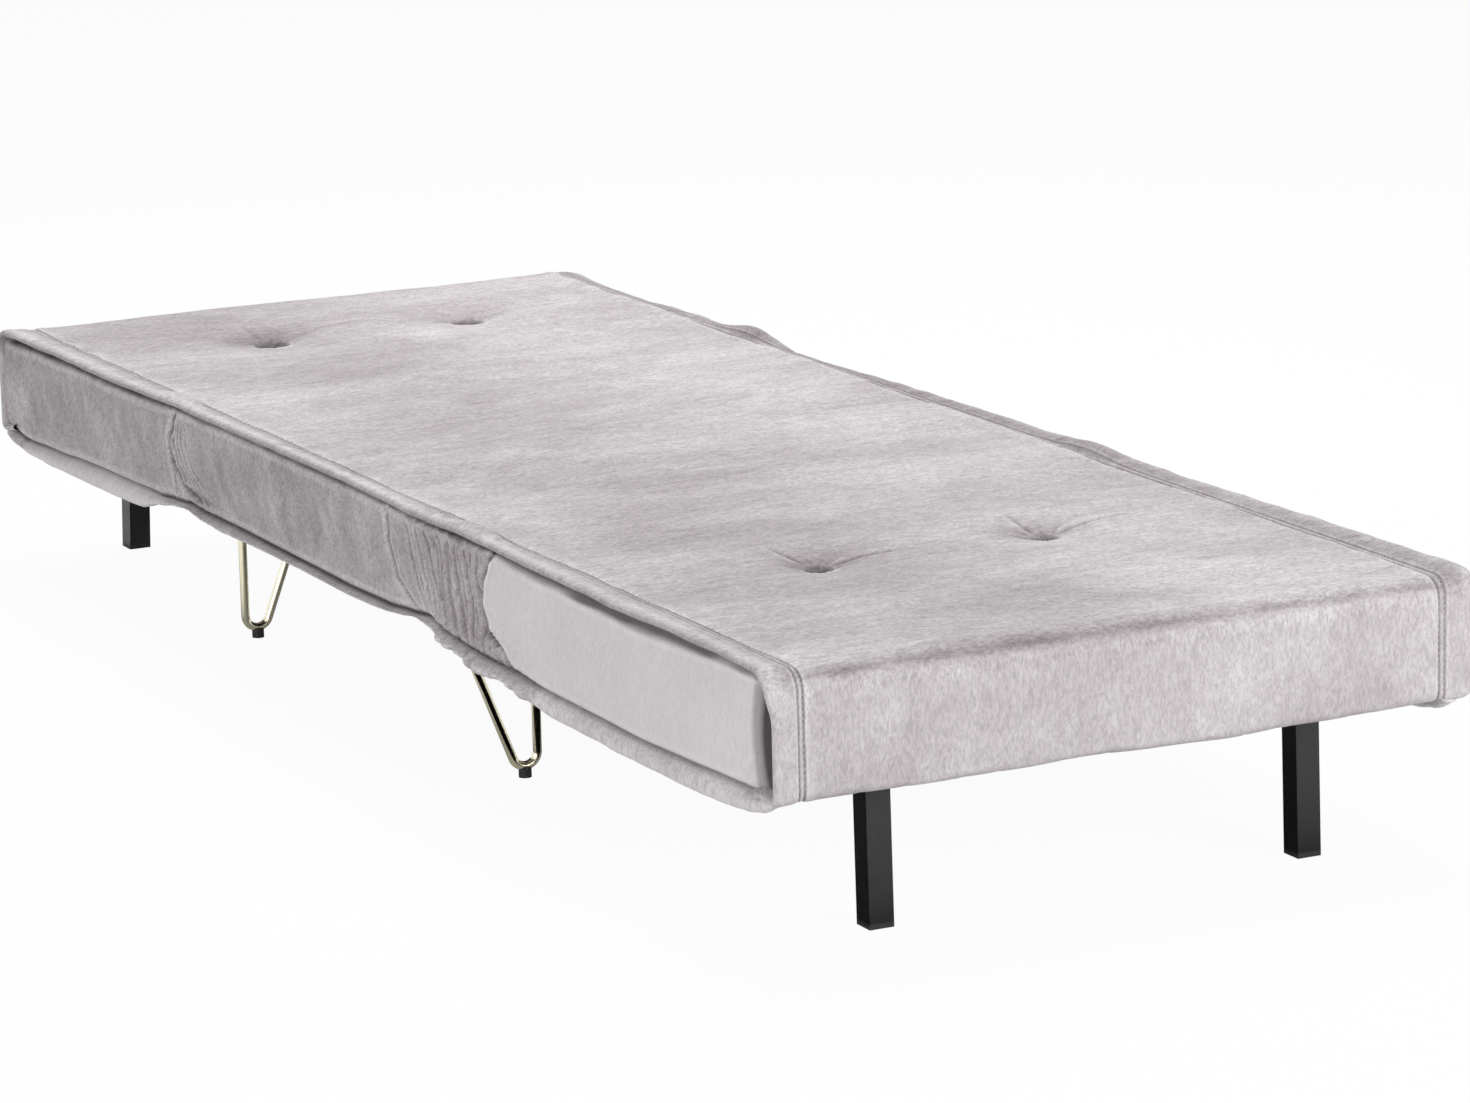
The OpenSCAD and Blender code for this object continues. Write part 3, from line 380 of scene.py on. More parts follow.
def top_relief(x, y, z, s, on_top, inside):
    """Height of the top's cloth between its seams, without its tufts: crown, waves and wrinkles."""
    over = np.clip(np.abs(x) / PANEL, 0, 1)
    h = 2.4 * (1 - over ** 2) * on_top * smooth((HEAD - y) / 60)
    h += 2.6 * (1 - on_top) * (1 - over ** 4) * np.sin(math.pi * np.clip((z - 147) / 118, 0, 1))
    h += 0.8 * (1 - on_top) * inside * waves(40, 90, 240)(x, z)
    h -= 0.5 * (1 - on_top) * inside * creases(waves(49, 70, 200)(x, 0.4 * z), 5)
    # broad, shallow unevenness, a little longer across the bed than along it
    h += inside * (0.9 * waves(41, 150, 420)(x * 0.7, s) + 0.4 * waves(42, 45, 110)(x * 0.5, s))
    # faint crosswise wrinkles all over the top
    h -= inside * on_top * 0.55 * creases(waves(43, 50, 150)(x * 0.22, s + 0.06 * x), 3.2)
    return h - inside * on_top * 0.3 * creases(waves(48, 22, 60)(x * 0.2, s - 0.05 * x), 2.6)


def top_sheet():
    """The cloth over the top and both end faces, with the padded strips outside its seams."""
    s, x = np.meshgrid(S, XS, indexing="ij")
    y, z, ny, nz = (row[:, None] + 0 * x for row in (SY, SZ, NY, NZ))
    off = np.abs(x)
    fall = -DEPTH[None, :]
    on_top = smooth((z - 235) / 30)
    inside = smooth((PANEL - off) / 3)
    h = top_relief(x, y, z, s, on_top, inside) - fall
    # the tufts' painted shade and highlights, and the plain cloth that paints their near rims' highlight
    shade, rim_highlight = 0 * x, 0 * x
    for tuft_x, tuft_y in TUFTS:
        for side in (-1, 1):
            deep, tuft_shading, bright = tuft_marks(x, y, tuft_x, tuft_y, side)
            h -= on_top * deep
            shade += on_top * tuft_shading
            rim_highlight += bright
        h -= on_top * inside * pair_creases(x, y, tuft_x, tuft_y)
    # the seam's two rows, and the cloth that swells beside them
    for row in (PANEL - ROW, PANEL + ROW):
        h -= 2.0 * bell(off - row, 1.15)
    h += 0.8 * bell(off - PANEL + 10, 7) * (0.7 + 0.5 * line_waves(45, 30, 90)(s))
    for side in (-1, 1):
        outside = side * x > PANEL
        more, moved = strip(x, y, z, side, on_top)
        h = np.where(outside, h + more, h)
        x = np.where(outside, moved, x)
    # a soft fold where the cloth turns down over each end, with a slightly uneven line
    h += np.abs(nz) * np.abs(ny) * inside * (-0.9 + 0.7 * line_waves(47, 40, 160)(x))
    z = z - smooth((215 - z) / 60) * (y < 0) * end_sag(x)

    # painted light: the end faces a little darker, most on the left, and the top lighter towards the right
    # and the foot end; the waves are random tone
    tone = 0.5 + shade - 0.02 * (1 - on_top) * inside * (1 - 0.3 * x / PANEL)
    lit = 0.13 * smooth((x + 160) / 360) + 0.13 * smooth((-y - 800) / 100) + 0.03 * smooth((y - 300) / 300)
    tone += inside * on_top * (lit + 0.10 * waves(61, 260, 640)(x, s) - 0.03)
    tone += 0.06 * waves(62, 90, 260)(x * 0.5, s) * inside
    # painted light on the strip: shade on the right one, more towards the head end, shade in its creases
    # with highlights on its folds, a highlight along its outer part, and shade beside the seam and on its
    # turned edge
    strip_shading = np.where(x > 0, -0.2 - 0.22 * smooth((y + 620) / 500), 0.0) + cavity(h, 0.35, 4, (0,))
    strip_shading += 0.26 * bell(off - 361, 7) - 0.10 * bell(off - 343, 6) - 0.25 * smooth((fall - 1) / 3)
    tone += (off > PANEL) * on_top * strip_shading
    # painted shade in the grooves of the stitching lines, with a painted highlight beside each
    for row, bright_at in ((PANEL - ROW, -2.1), (PANEL + ROW, 2.1)):
        tone += 0.34 * bell(off - row - bright_at, 1.1) - 0.7 * bell(off - row, 1.1)
    # painted shade under the strip's turned edge
    tone -= 0.6 * smooth((fall - 4.5) / 3) * on_top
    # painted shade along the fold lines over the ends, and a painted highlight on the foot end's upper edge
    over_end = bell(SEAM_Z - z - 6.5, 4.2) * (np.abs(y) > 940) * inside
    tone -= over_end * (0.5 + 0.16 * line_waves(59, 60, 200)(x))
    tone += 0.12 * bell(z - SEAM_Z, 1.5) * bell(y + 938, 6) * inside
    # painted shade in the cloth's valleys and painted highlights on its ridges
    tone = np.maximum(tone + cavity(h, 0.22) * inside, -0.3)
    return np.stack([x, y + ny * h, z + nz * h], -1), tone, 1.35 * (1 - on_top) + rim_highlight


# Height of the seam above the rolled hem, and of the hem's lowest line, by the length of the bed
LOWER_SEAM = table([
    (966, 160), (943, 150), (900, 143), (800, 145), (749, 147.5), (655, 149.5), (519, 151), (474, 155),
    (430, 157), (387, 153.5), (302, 153), (200, 151.5), (100, 150.5), (0, 149), (-95, 150.5), (-150, 155),
    (-206, 160), (-242, 153), (-290, 150), (-340, 148), (-416, 147), (-484, 143), (-582, 142),
    (-680, 140.2), (-771, 142.3), (-861, 145.2), (-900, 146), (-930, 148), (-957, 153),
])
HEM_LOW = table([
    (966, 150), (931, 137), (883, 130.5), (834, 128.5), (645, 128.5), (560, 131), (507, 143), (462, 150),
    (418, 153), (376, 147), (333, 144), (208, 146), (87, 146), (9, 144.5), (-68, 145), (-106, 147.5),
    (-143, 151), (-181, 157), (-217, 152), (-252, 143), (-288, 142), (-322, 131), (-358, 134), (-392, 138),
    (-426, 131), (-493, 122.5), (-592, 121.5), (-640, 120.3), (-810, 120.5), (-840, 122), (-870, 123.5),
    (-900, 126), (-929, 131), (-957, 142),
])
# How far out the sides lie, by the length of the bed
SIDE_X = table([
    (-966, 357), (-460, 357), (-306, 354.5), (-100, 351.5), (300, 351.5), (454, 355), (600, 359),
    (850, 362), (966, 367.5),
])
# Lines on the sides, by the height: where the foot section's smooth panel begins, where the gathers
# before it end, and the leaf-shaped crease
PANEL_EDGE = table([
    (145, -413), (161, -392), (180, -355), (204, -342), (225, -345), (245, -356), (262, -374),
])
GATHER_END = table([(262, -98), (225, -106), (190, -128), (160, -176), (150, -196)])
LEAF = table([(150, 386), (162, 396), (180, 446), (200, 472), (221, 477), (240, 470), (257, 458)])


def side_spacing(y):
    """Spacing of the sides' rows: close at the gathers, at the leaf-shaped creases and at the ends."""
    ends = [(FOOT, -905, 2.4), (930, HEAD, 2.4)]
    return spaced(y, 5.0, [(-470, -60, 2.0), (-424, -328, 1.25), (363, 508, 1.6)] + ends)


# Rows of the sides' mesh by the length, and its columns by the share of the way down
SIDE_FOOT, SIDE_HEAD = FOOT + 4, HEAD - 4
SIDE_Y = graded(SIDE_FOOT, SIDE_HEAD, side_spacing)
SIDE_DOWN = np.array([0, 0.02, 0.045, 0.075, 0.11, *np.linspace(0.13, 0.9, 36), 0.925, 0.95, 0.975, 1.0])


def steepness(curve, z):
    """How much longer a line on the sides is than it is high, from the length by the height."""
    return np.sqrt(1 + ((curve(z + 1.5) - curve(z - 1.5)) / 3) ** 2)


def quarter(t):
    """How far a quarter circle has turned in, as a share of its radius, by the share of its length."""
    return 1 - np.sqrt(1 - np.clip(t, 0, 0.999) ** 2)


def end_round(y, radius):
    """How far in, as a share of the radius, a side lies where it turns at the bed's ends."""
    return quarter(1 - np.minimum(y - SIDE_FOOT, SIDE_HEAD - y) / radius)


def inner_limit(y, z):
    """How far out a side must stay to clear the frames, the foam and the hinge plates."""
    frames = np.where((y < -298) | (y > 446), 347.4, 344.4)
    foam, plates = 342.5, 350.4
    least = frames + (foam - frames) * smooth((z - 212) / 5)
    spans = ((430, 529), (-381, -282))
    at_plates = sum(smooth((y - low) / 12) * smooth((high - y) / 12) for low, high in spans)
    return least + (plates - least) * at_plates


def gathers(y, z, down, past, side):
    """The seat's gathered cloth: its share, how far it stands out, and the distance past its end."""
    fan = 0.22 + 0.62 * smooth((y + 350) / 230)
    run = y + fan * (262 - z) + 5 * waves(73 + side, 50, 120)(y, z) + 1.5 * waves(74 + side, 16, 40)(y, z)
    share = smooth((-96 - run) / 90) * smooth((past - 2) / 7)
    folds = 5.2 * pleat(run / 27) + 3.6 * pleat(run / 14.5 + 0.3) + 1.5 * pleat(run / 8.3) - 6.5
    crossing = bell(down - 0.28, 0.22) * creases(waves(75 + side, 22, 60)(y - 0.7 * z, 0.5 * z), 2.4)
    out = share * ((0.5 + 0.75 * down) * folds - 2.4 * crossing)
    return share, out - 4.4 * bell(y - GATHER_END(z), 3.4) * smooth(down / 0.1), -96 - run


def leaf_creases(y, z, down):
    """The leaf-shaped creases at the backrest's joint: their depth, and the painted shade in them with
    painted highlights beside them.
    """
    leaf, steep = LEAF(z), steepness(LEAF, z)
    there = smooth(down / 0.12) * smooth((1.02 - down) / 0.08)
    aside = (y - leaf) / steep
    tone = there * (0.24 * bell(aside + 3.6, 1.5) - 0.45 * bell(aside, 1.8))
    deep = 6.5 * bell(aside, 3.0) * there + 5.0 * bell(y - (466 + 0.07 * (z - 210)), 2.6)
    for shift, depth in ((9, 3.2), (18, 2.4), (28, 2.0), (40, 1.5), (56, 1.0)):
        aside = (y - leaf + shift * (0.45 + 0.9 * down) + 10 * down * down) / steep
        line = bell(aside, 2.2) * there * smooth((down - 0.1) / 0.2)
        deep = deep + depth * line
        tone = tone + 0.06 * depth * (bell(aside + 3, 1.5) * there - line)
    return deep, tone


def side_sheet(side):
    """One long side between the strip and the hem, from end to end."""
    y, down = np.meshgrid(SIDE_Y, SIDE_DOWN, indexing="ij")
    top = SEAM_Z - 9 + np.minimum(strip_up(y, side), 8 if side < 0 else 0) * 0.9
    # the foot section's panel pulls away from the strip towards its middle, and closes up at the corner
    top = top - 2.5 * bell(y + 620, 170)
    z = top + (LOWER_SEAM(y) - top) * down
    # distance from the smooth panel's edge, at right angles to it, and the panel's share
    past = (y - PANEL_EDGE(z)) / steepness(PANEL_EDGE, z)
    foot = smooth(-past / 6)
    body = np.sin(math.pi * down)
    # how far down the recess under the strip reaches, widest beside the foot section
    lid = 0.058 + 0.036 * bell(y + 705, 160) + 0.004 * line_waves(67 + side, 60, 160)(y)
    recess, tucked = 1 - smooth((down - lid + 0.055) / 0.06), smooth((down - 0.925) / 0.075) ** 1.3
    x = SIDE_X(y) - 2.4 - 16 * recess - 8 * tucked + body * (2.6 + 1.2 * waves(71 + side, 120, 300)(y, z))
    # the smooth panel is fuller, and has a piped edge with small creases behind it
    x += 3.4 * smooth(-past / 18) * np.sin(math.pi * np.clip(down * 0.94 + 0.03, 0, 1)) ** 0.5
    x += 2.2 * bell(past + 3.4, 2.2) - 9.0 * bell(past - 3.4, 3.6)
    for shift, depth in ((9, 1.8), (16, 1.5), (24, 1.2), (33, 0.8)):
        x -= depth * bell(past + shift + 0.22 * (z - 180), 1.9) * bell(z - 176, 24)
    gather, out, beyond = gathers(y, z, down, past, side)
    deep, drawn = leaf_creases(y, z, down)
    x += out - deep
    # soft vertical slack in the seat's and the backrest's cloth
    slack = 0.7 * waves(78 + side, 50, 140)(y, z) + 0.25 * waves(79 + side, 18, 50)(y, z)
    x -= (1 - foot) * (1 - smooth(beyond / 60) * (y < 0)) * body ** 0.6 * slack
    # small slanting creases by the lower corner of the foot end
    for crease_y, crease_z in ((-948, 178), (-941, 168), (-932, 160), (-920, 154)):
        x -= 1.8 * bell((y - crease_y - 26) + 0.9 * (z - crease_z), 2.2) * bell(z - crease_z, 11)

    # painted shade and highlights along the leaf-shaped creases
    tone = 0.30 + drawn + 0.56 * foot + 0.02 * (y > 470)
    # painted shade in the cloth's valleys and painted highlights on its ridges
    tone = tone + cavity(x, 0.36) * (1 - 0.75 * foot) * (1 - 0.2 * gather)
    # painted shade in the recess under the strip and beside the hem, and a painted highlight on the panel's
    # edge under the recess
    dark = 1.15 * (1 - smooth((down - lid + 0.006) / 0.022)) + 0.8 * smooth((down - 0.955) / 0.045)
    tone = tone - dark * smooth((HEAD - 8 - y) / 22)
    tone = tone + (0.08 + 0.16 * foot) * bell(down - lid - 0.035, 0.016)
    # random tone, and painted shade over the gathers
    tone += 0.06 * waves(77 + side, 50, 180)(y, z) * (1 - foot) - 0.07 * gather
    # a painted highlight on the piped edge, and painted shade in the groove behind it
    tone += 0.3 * bell(past + 3.2, 2) - 0.5 * bell(past - 3.4, 3)
    # the panel turns in before the strip that runs down the foot end, with painted shade where it turns
    turned = np.clip(1 - (y + 940) / 18, 0, 0.999)
    radius = np.where(y > 0, 5, 13)
    x = x - radius * np.maximum(end_round(y, radius), quarter(turned))
    tone = tone - 0.75 * smooth(turned / 0.5) - 0.9 * smooth((turned - 0.7) / 0.2) * smooth((y + 952) / 8)
    # a soft stop at the inner limit, and a stop inside the rounded ends of the top's cloth
    limit, softness = inner_limit(y, z), 0.7
    x = limit + softness * np.logaddexp(0, (x - limit) / softness)
    foot_most, head_most = (
        reach - 4.5 + np.sqrt(radius * radius - np.clip(z - turn_z, 0, radius - 0.5) ** 2)
        for reach, radius, turn_z in ((946, 19, 246), (948, 17, 248))
    )
    off, most, turn_y = np.abs(y), np.where(y < 0, foot_most, head_most), 925
    y = np.sign(y) * np.where(off > turn_y, turn_y + (off - turn_y) * (most - turn_y) / 37, off)
    return np.stack([side * x, y, z], -1), tone, 3 * foot - 1


# The hem's roll in section: share of the way round, then distance down and distance out
HEM_TURN = [0, 0.08, 0.2, 0.32, 0.45, 0.58, 0.7, 0.8, 0.88, 0.94, 1.0, 1.08, 1.2, 1.4]
HEM_FALL = ([0, 0.08, 0.94, 1.0, 1.08, 1.2, 1.4], [-0.15, 0.02, 0.955, 1.0, 0.99, 0.72, -0.12])
HEM_OUT = ([0, 0.08, 0.2, 0.45, 0.7, 0.88, 1.0, 1.08, 1.2, 1.4], [-12, -8, -3, 1, 1.5, 0, -4, -9, -16, -21])


def hem_sheet(side):
    """The rolled hem along the lower edge of one long side."""
    y, turn = np.meshgrid(SIDE_Y, HEM_TURN, indexing="ij")
    seam = LOWER_SEAM(y)
    bunched = smooth((y + 452) / 20) * smooth((-222 - y) / 25)
    fold = pleat((y + 6 * line_waves(63 + side, 30, 60)(y)) / 25)
    low = HEM_LOW(y) + 0.25 * line_waves(60 + side, 50, 140)(y) - 4 * bunched * (fold - 0.4)
    tall = seam - low
    z = seam - tall * np.interp(turn, *HEM_FALL)
    x = np.interp(turn, *HEM_OUT) + SIDE_X(y) + 1.5
    # the shares of the three sections
    head, foot = smooth((y - 482) / 30), smooth((-452 - y) / 20)
    seat = (1 - head) * (1 - foot)
    out = smooth(turn / 0.5) * np.clip(1.15 - np.maximum(turn - 1, 0) * 2.5, 0, 1)
    free = 1 - 0.9 * smooth((turn - 0.55) / 0.35)
    ripple = line_waves(81 + side, 14, 44, 7)(y)
    crease = creases(line_waves(83 + side, 26, 80, 7)(y), 2.2)
    uneven = 0.9 * ripple * (0.4 + 0.9 * head + 0.2 * foot) - 3.0 * crease * (0.25 + 0.8 * head)
    x = x + out * free * uneven + out * bunched * (9 * fold - 4.0) * (0.5 + 0.5 * free)
    x = x + 2.0 * seat * bell(turn - 0.5, 0.4) - 17.6 * end_round(y, 16)
    # the roll closes at the bed's ends
    shut = 1 - end_round(y, 10)
    core_x, core_z = SIDE_X(y) - 16, seam - 0.2 * tall
    x = np.where(turn > 0.1, (x - core_x) * shut + core_x, x)
    z = np.where(turn > 0.1, (z - core_z) * shut + core_z, z)

    loose = head * smooth((912 - y) / 6)
    # painted highlights on the tops of the folds and painted shade in the valleys between them
    tone = 0.66 + 0.55 * loose + 0.14 * foot - 0.1 * seat + 0.4 * bunched * (fold - 0.6)
    tone = tone + 0.24 * bell(y - 400, 60) - 0.2 * smooth((y - 905) / 8) + cavity(x, 0.16, 2)
    # painted shade where the hem turns in under the side, between the bed's ends
    between_ends = smooth((HEAD - 12 - y) / 20) * smooth((y - FOOT - 12) / 14)
    tone = tone - 0.95 * (1 - smooth(turn / 0.16)) * between_ends
    return np.stack([side * x, y, z], -1), tone, 3 * loose + 2.2 * foot - 1


# A leg slot in an underside: its reaches from the leg's pin and its half width, and the bracket's
SLOT_BEHIND, SLOT_REACH, SLOT_HALF = 15.6, 171.5, 14.1
BRACKET_REACH, BRACKET_HALF = 14.6, 20.4
UNDER_COLUMNS = [20, 60, 100, 140, 170, 190, 205.5, 211.8, 239.8, 246.1, 262, 285, 305, 325, 343, 349.5]


def under_sheet(section):
    """Underside of a folding section, carried on under the seat's end rail, with its two leg slots."""
    if section == "back":
        level, leg, end, second, inward = 147.0, BACK_LEG, HEAD, 27, -1
        seat_rows = [*np.linspace(BACK_LEG - 190, 478, 18), 472, 466, 461, 457, 454, 451]
    else:
        level, leg, end, second, inward = 137.0, FLAP_LEG, FOOT, 40, 1
        seat_rows = [*np.linspace(FLAP_LEG + 190, -357, 24), *np.linspace(-350, -274, 14)]
    slot_rows = [leg + inward * reach for reach in (-15.5, -14.5, 14.5, *np.linspace(40, 171, 10))]
    rows = [end + 20 * inward, end + second * inward] + slot_rows + seat_rows
    columns = [-x for x in UNDER_COLUMNS[::-1]] + [0.0] + UNDER_COLUMNS
    y, x = np.meshgrid(rows, columns, indexing="ij")
    # the cloth rises to the seat's rail, and meets the end face's lower edge
    lift = smooth((476 - y) / 22) if section == "back" else smooth((y + 362) / 60)
    end_level = 153.0 if section == "back" else 148.8 - end_sag(x)
    near_end = smooth(1 - (np.abs(y - end) - 20) / 110)
    z = level + (158.6 - level) * lift + (end_level - level) * near_end
    plain = (1 - lift) * (1 - near_end)
    z = z - (1.5 * (1 - (x / 340) ** 2) - 0.8 * waves(91, 90, 260)(x, y)) * plain
    z = z + 2 * smooth((np.abs(x) - 343) / 6.5)
    middle_y, middle_x = ((g[1:, 1:] + g[:-1, :-1]) / 2 for g in (y, x))
    along, aside = inward * (middle_y - leg), np.abs(np.abs(middle_x) - LEG_X)
    slot = (along > -SLOT_BEHIND) & (along < SLOT_REACH) & (aside < SLOT_HALF)
    slot |= (np.abs(along) < BRACKET_REACH) & (aside < BRACKET_HALF)
    return np.stack([x, y, z], -1), 0.35 + 0 * x, 0 * x, ~slot


def add_object(name, data):
    obj = bpy.data.objects.new(name, data)
    bpy.context.scene.collection.objects.link(obj)
    return obj


def add_mesh(name, points, faces, material, soft=True):
    """A new mesh object, from points in metres."""
    mesh = bpy.data.meshes.new(name)
    mesh.from_pydata(points, [], faces)
    mesh.polygons.foreach_set("use_smooth", [soft] * len(mesh.polygons))
    mesh.materials.append(material)
    return add_object(name, mesh)


class Skin:
    """Grids of points gathered into one mesh, with a tone, a grain and a rest place at each point."""

    def __init__(self):
        self.grids, self.count = [], 0

    def add(self, points, tone, grain, flip, first=0, end=None, keep_faces=None):
        """Adds rows of a grid. The normals come from the whole grid, so that two halves of it match."""
        along, across = np.gradient(points, axis=0), np.gradient(points, axis=1)
        normal = np.cross(along, across) * (-1 if flip else 1)
        normal /= np.maximum(np.linalg.norm(normal, axis=-1, keepdims=True), 1e-9)
        points, normal = points[first:end].reshape(-1, 3), normal[first:end].reshape(-1, 3)
        tone, grain = tone[first:end], grain[first:end].ravel()
        i = np.arange(tone.size).reshape(tone.shape) + self.count
        quads = np.stack([i[:-1, :-1], i[1:, :-1], i[1:, 1:], i[:-1, 1:]], -1)
        if flip:
            quads = quads[..., ::-1]
        if keep_faces is not None:
            quads = quads[keep_faces]
        self.grids.append((points, normal, tone.ravel(), grain, quads.reshape(-1, 4)))
        self.count += tone.size

    def build(self, name, material):
        points, normals, tones, grains, faces = (np.concatenate(parts) for parts in zip(*self.grids))
        points = points * MM
        obj = add_mesh(name, points.tolist(), faces.tolist(), material)
        rest = obj.data.attributes.new("rest", "FLOAT_VECTOR", "POINT")
        rest.data.foreach_set("vector", points.astype(np.float32).ravel())
        for key, values in (("tone", tones), ("grain", grains)):
            layer = obj.data.attributes.new(key, "FLOAT", "POINT")
            layer.data.foreach_set("value", values.astype(np.float32))
        obj.data.normals_split_custom_set_from_vertices(normals.tolist())
        return obj


# Materials

def set_inputs(node, inputs):
    """Gives a node's inputs, each by its name or number, a link or a constant."""
    for key, value in inputs.items():
        socket = node.inputs[key]
        if isinstance(value, bpy.types.NodeSocket):
            node.id_data.links.new(value, socket)
        else:
            socket.default_value = (*value, 1) if socket.type == "RGBA" else value


def add_node(tree, kind, inputs):
    """A new node with its inputs."""
    node = tree.nodes.new("ShaderNode" + kind)
    set_inputs(node, inputs)
    return node


def new_material(name):
    """A new material, its node tree and its shader."""
    material = bpy.data.materials.new(name)
    material.use_nodes = True
    return material, material.node_tree, material.node_tree.nodes["Principled BSDF"]


def noise(tree, place, scale, detail, rough, stretch=None, distort=0.0):
    if stretch is not None:
        place = add_node(tree, "Mapping", {"Vector": place, "Scale": stretch}).outputs["Vector"]
    inputs = {"Vector": place, "Scale": scale, "Detail": detail, "Roughness": rough, "Distortion": distort}
    return add_node(tree, "TexNoise", inputs).outputs["Fac"]


def ramp(tree, value, stops):
    """A value turned into a colour by stops, each a position and a colour."""
    node = add_node(tree, "ValToRGB", {"Fac": value})
    elements = node.color_ramp.elements
    while len(elements) < len(stops):
        elements.new(0.5)
    for element, (position, color) in zip(elements, stops):
        element.position = position
        element.color = (*color, 1)
    return node.outputs["Color"]


def span(tree, value, from_low=0.0, from_high=1.0, to_low=0.0, to_high=1.0):
    """A value moved from one range to another, and kept inside it."""
    ends = {"From Min": from_low, "From Max": from_high, "To Min": to_low, "To Max": to_high}
    return add_node(tree, "MapRange", {"Value": value, **ends}).outputs["Result"]


def worked_out(tree, operation, *values):
    """The result of a sum with links and numbers."""
    node = add_node(tree, "Math", dict(enumerate(values)))
    node.operation = operation
    return node.outputs[0]


def mix(tree, kind, share, a, b):
    """Two colours mixed."""
    node = tree.nodes.new("ShaderNodeMix")
    node.data_type = "RGBA"
    node.blend_type = kind
    color_a, color_b, color_out = 6, 7, 2
    set_inputs(node, {0: share, color_a: a, color_b: b})
    return node.outputs[color_out]


def bump(tree, height, strength, distance, **normal):
    inputs = {"Height": height, "Strength": strength, "Distance": distance, **normal}
    return add_node(tree, "Bump", inputs).outputs["Normal"]


def velvet(name, dark, light):
    """Brushed velvet. The points' tone sets its colour, painted shade and highlights included, and their
    grain its pattern.

    Grain is 0 on the top, 1 and a little more on upright faces, 2 and more for plain cloth, and
    below 0 for cloth without a direction."""
    material, tree, shader = new_material(name)

    def attribute(key, output):
        node = tree.nodes.new("ShaderNodeAttribute")
        node.attribute_name = key
        return node.outputs[output]

    rest, tone, grain = attribute("rest", "Vector"), attribute("tone", "Fac"), attribute("grain", "Fac")

    def brushed(scale, detail, rough, top, face, distort):
        """Noise drawn out across the bed on top, and up and down on the upright faces."""
        pair = [noise(tree, rest, scale, detail, rough, stretch, distort) for stretch in (top, face)]
        return add_node(tree, "Mix", {0: grain, 2: pair[0], 3: pair[1]}).outputs[0]

    # tones below 0 run down to the deepest shade: painted shade in grooves, creases and recesses
    white, deepest_shade = (1.0, 1.0, 1.0), (0.04, 0.036, 0.038)
    colored = ramp(tree, span(tree, tone, from_low=-1.0), [(0.0, deepest_shade), (0.5, dark), (1.0, light)])
    clouds = brushed(6.5, 8.0, 0.70, (0.75, 1.3, 1.3), (1.2, 1.2, 1.2), 0.6)
    marks = brushed(72.0, 4.0, 0.62, (0.65, 1.4, 1.2), (1.6, 1.5, 0.7), 1.6)
    hairs = brushed(290.0, 3.0, 0.62, (0.75, 1.3, 1.2), (1.7, 1.6, 0.55), 0.8)
    base = colored
    for share, pattern, low, shadow, high in (
        (0.85, clouds, 0.37, (0.78, 0.765, 0.775), 0.60),
        (0.8, marks, 0.38, (0.78, 0.765, 0.775), 0.57),
        (0.85, hairs, 0.40, (0.70, 0.685, 0.695), 0.56),
    ):
        base = mix(tree, "MULTIPLY", share, base, ramp(tree, pattern, [(low, shadow), (high, white)]))
    # thin lines where a broad noise crosses its middle, fewer on cloth whose grain is far from 0
    lines = brushed(15.0, 5.0, 0.58, (0.42, 1.7, 1.5), (1.6, 1.3, 0.6), 1.2)
    lines = ramp(tree, lines, [(0.487, white), (0.5, (0.80, 0.785, 0.79)), (0.513, white)])
    lined = worked_out(tree, "MULTIPLY_ADD", worked_out(tree, "ABSOLUTE", grain), -0.5, 0.6)
    lined.node.use_clamp = True
    base = mix(tree, "MULTIPLY", lined, base, lines)
    # plain cloth shows lighter, and on the tufts' near rims this paints a highlight
    plain = mix(tree, "MULTIPLY", 1.0, colored, (0.85, 0.845, 0.85))
    plainness = span(tree, grain, from_low=1.0, from_high=2.0, to_high=0.72)
    normal = bump(tree, marks, 0.35, 0.0022)
    normal = bump(tree, lines, 0.2, 0.0015, Normal=normal)
    set_inputs(shader, {
        "Base Color": mix(tree, "MIX", plainness, base, plain), "Roughness": 0.85,
        "Specular IOR Level": 0.15, "Sheen Weight": 0.14, "Sheen Roughness": 0.4,
        "Sheen Tint": (0.97, 0.95, 0.97),
        "Normal": bump(tree, hairs, 0.45, 0.0008, Normal=normal),
    })
    return material


def simple(name, color, rough, metal=0.0, spots=40.0, depth=0.0004, vary=0.12, stretch=None, wear=0.12):
    """A material whose colour, roughness and surface vary in spots."""
    material, tree, shader = new_material(name)
    place = tree.nodes.new("ShaderNodeTexCoord").outputs["Object"]
    darker, lighter = (tuple(min(1, c * (1 + change)) for c in color) for change in (-vary, vary))
    spotted = noise(tree, place, spots, 4.0, 0.6, stretch)
    worn = noise(tree, place, spots * 2.3, 3.0, 0.5, stretch)
    fine = noise(tree, place, spots * 14, 2.0, 0.5, stretch)
    set_inputs(shader, {
        "Base Color": ramp(tree, spotted, [(0.3, darker), (0.7, lighter)]), "Metallic": metal,
        "Roughness": span(tree, worn, to_low=rough - wear, to_high=rough + wear),
        "Normal": bump(tree, fine, 0.35, depth),
    })
    return material


VELVET = velvet("velvet", (0.42, 0.385, 0.40), (0.90, 0.865, 0.88))
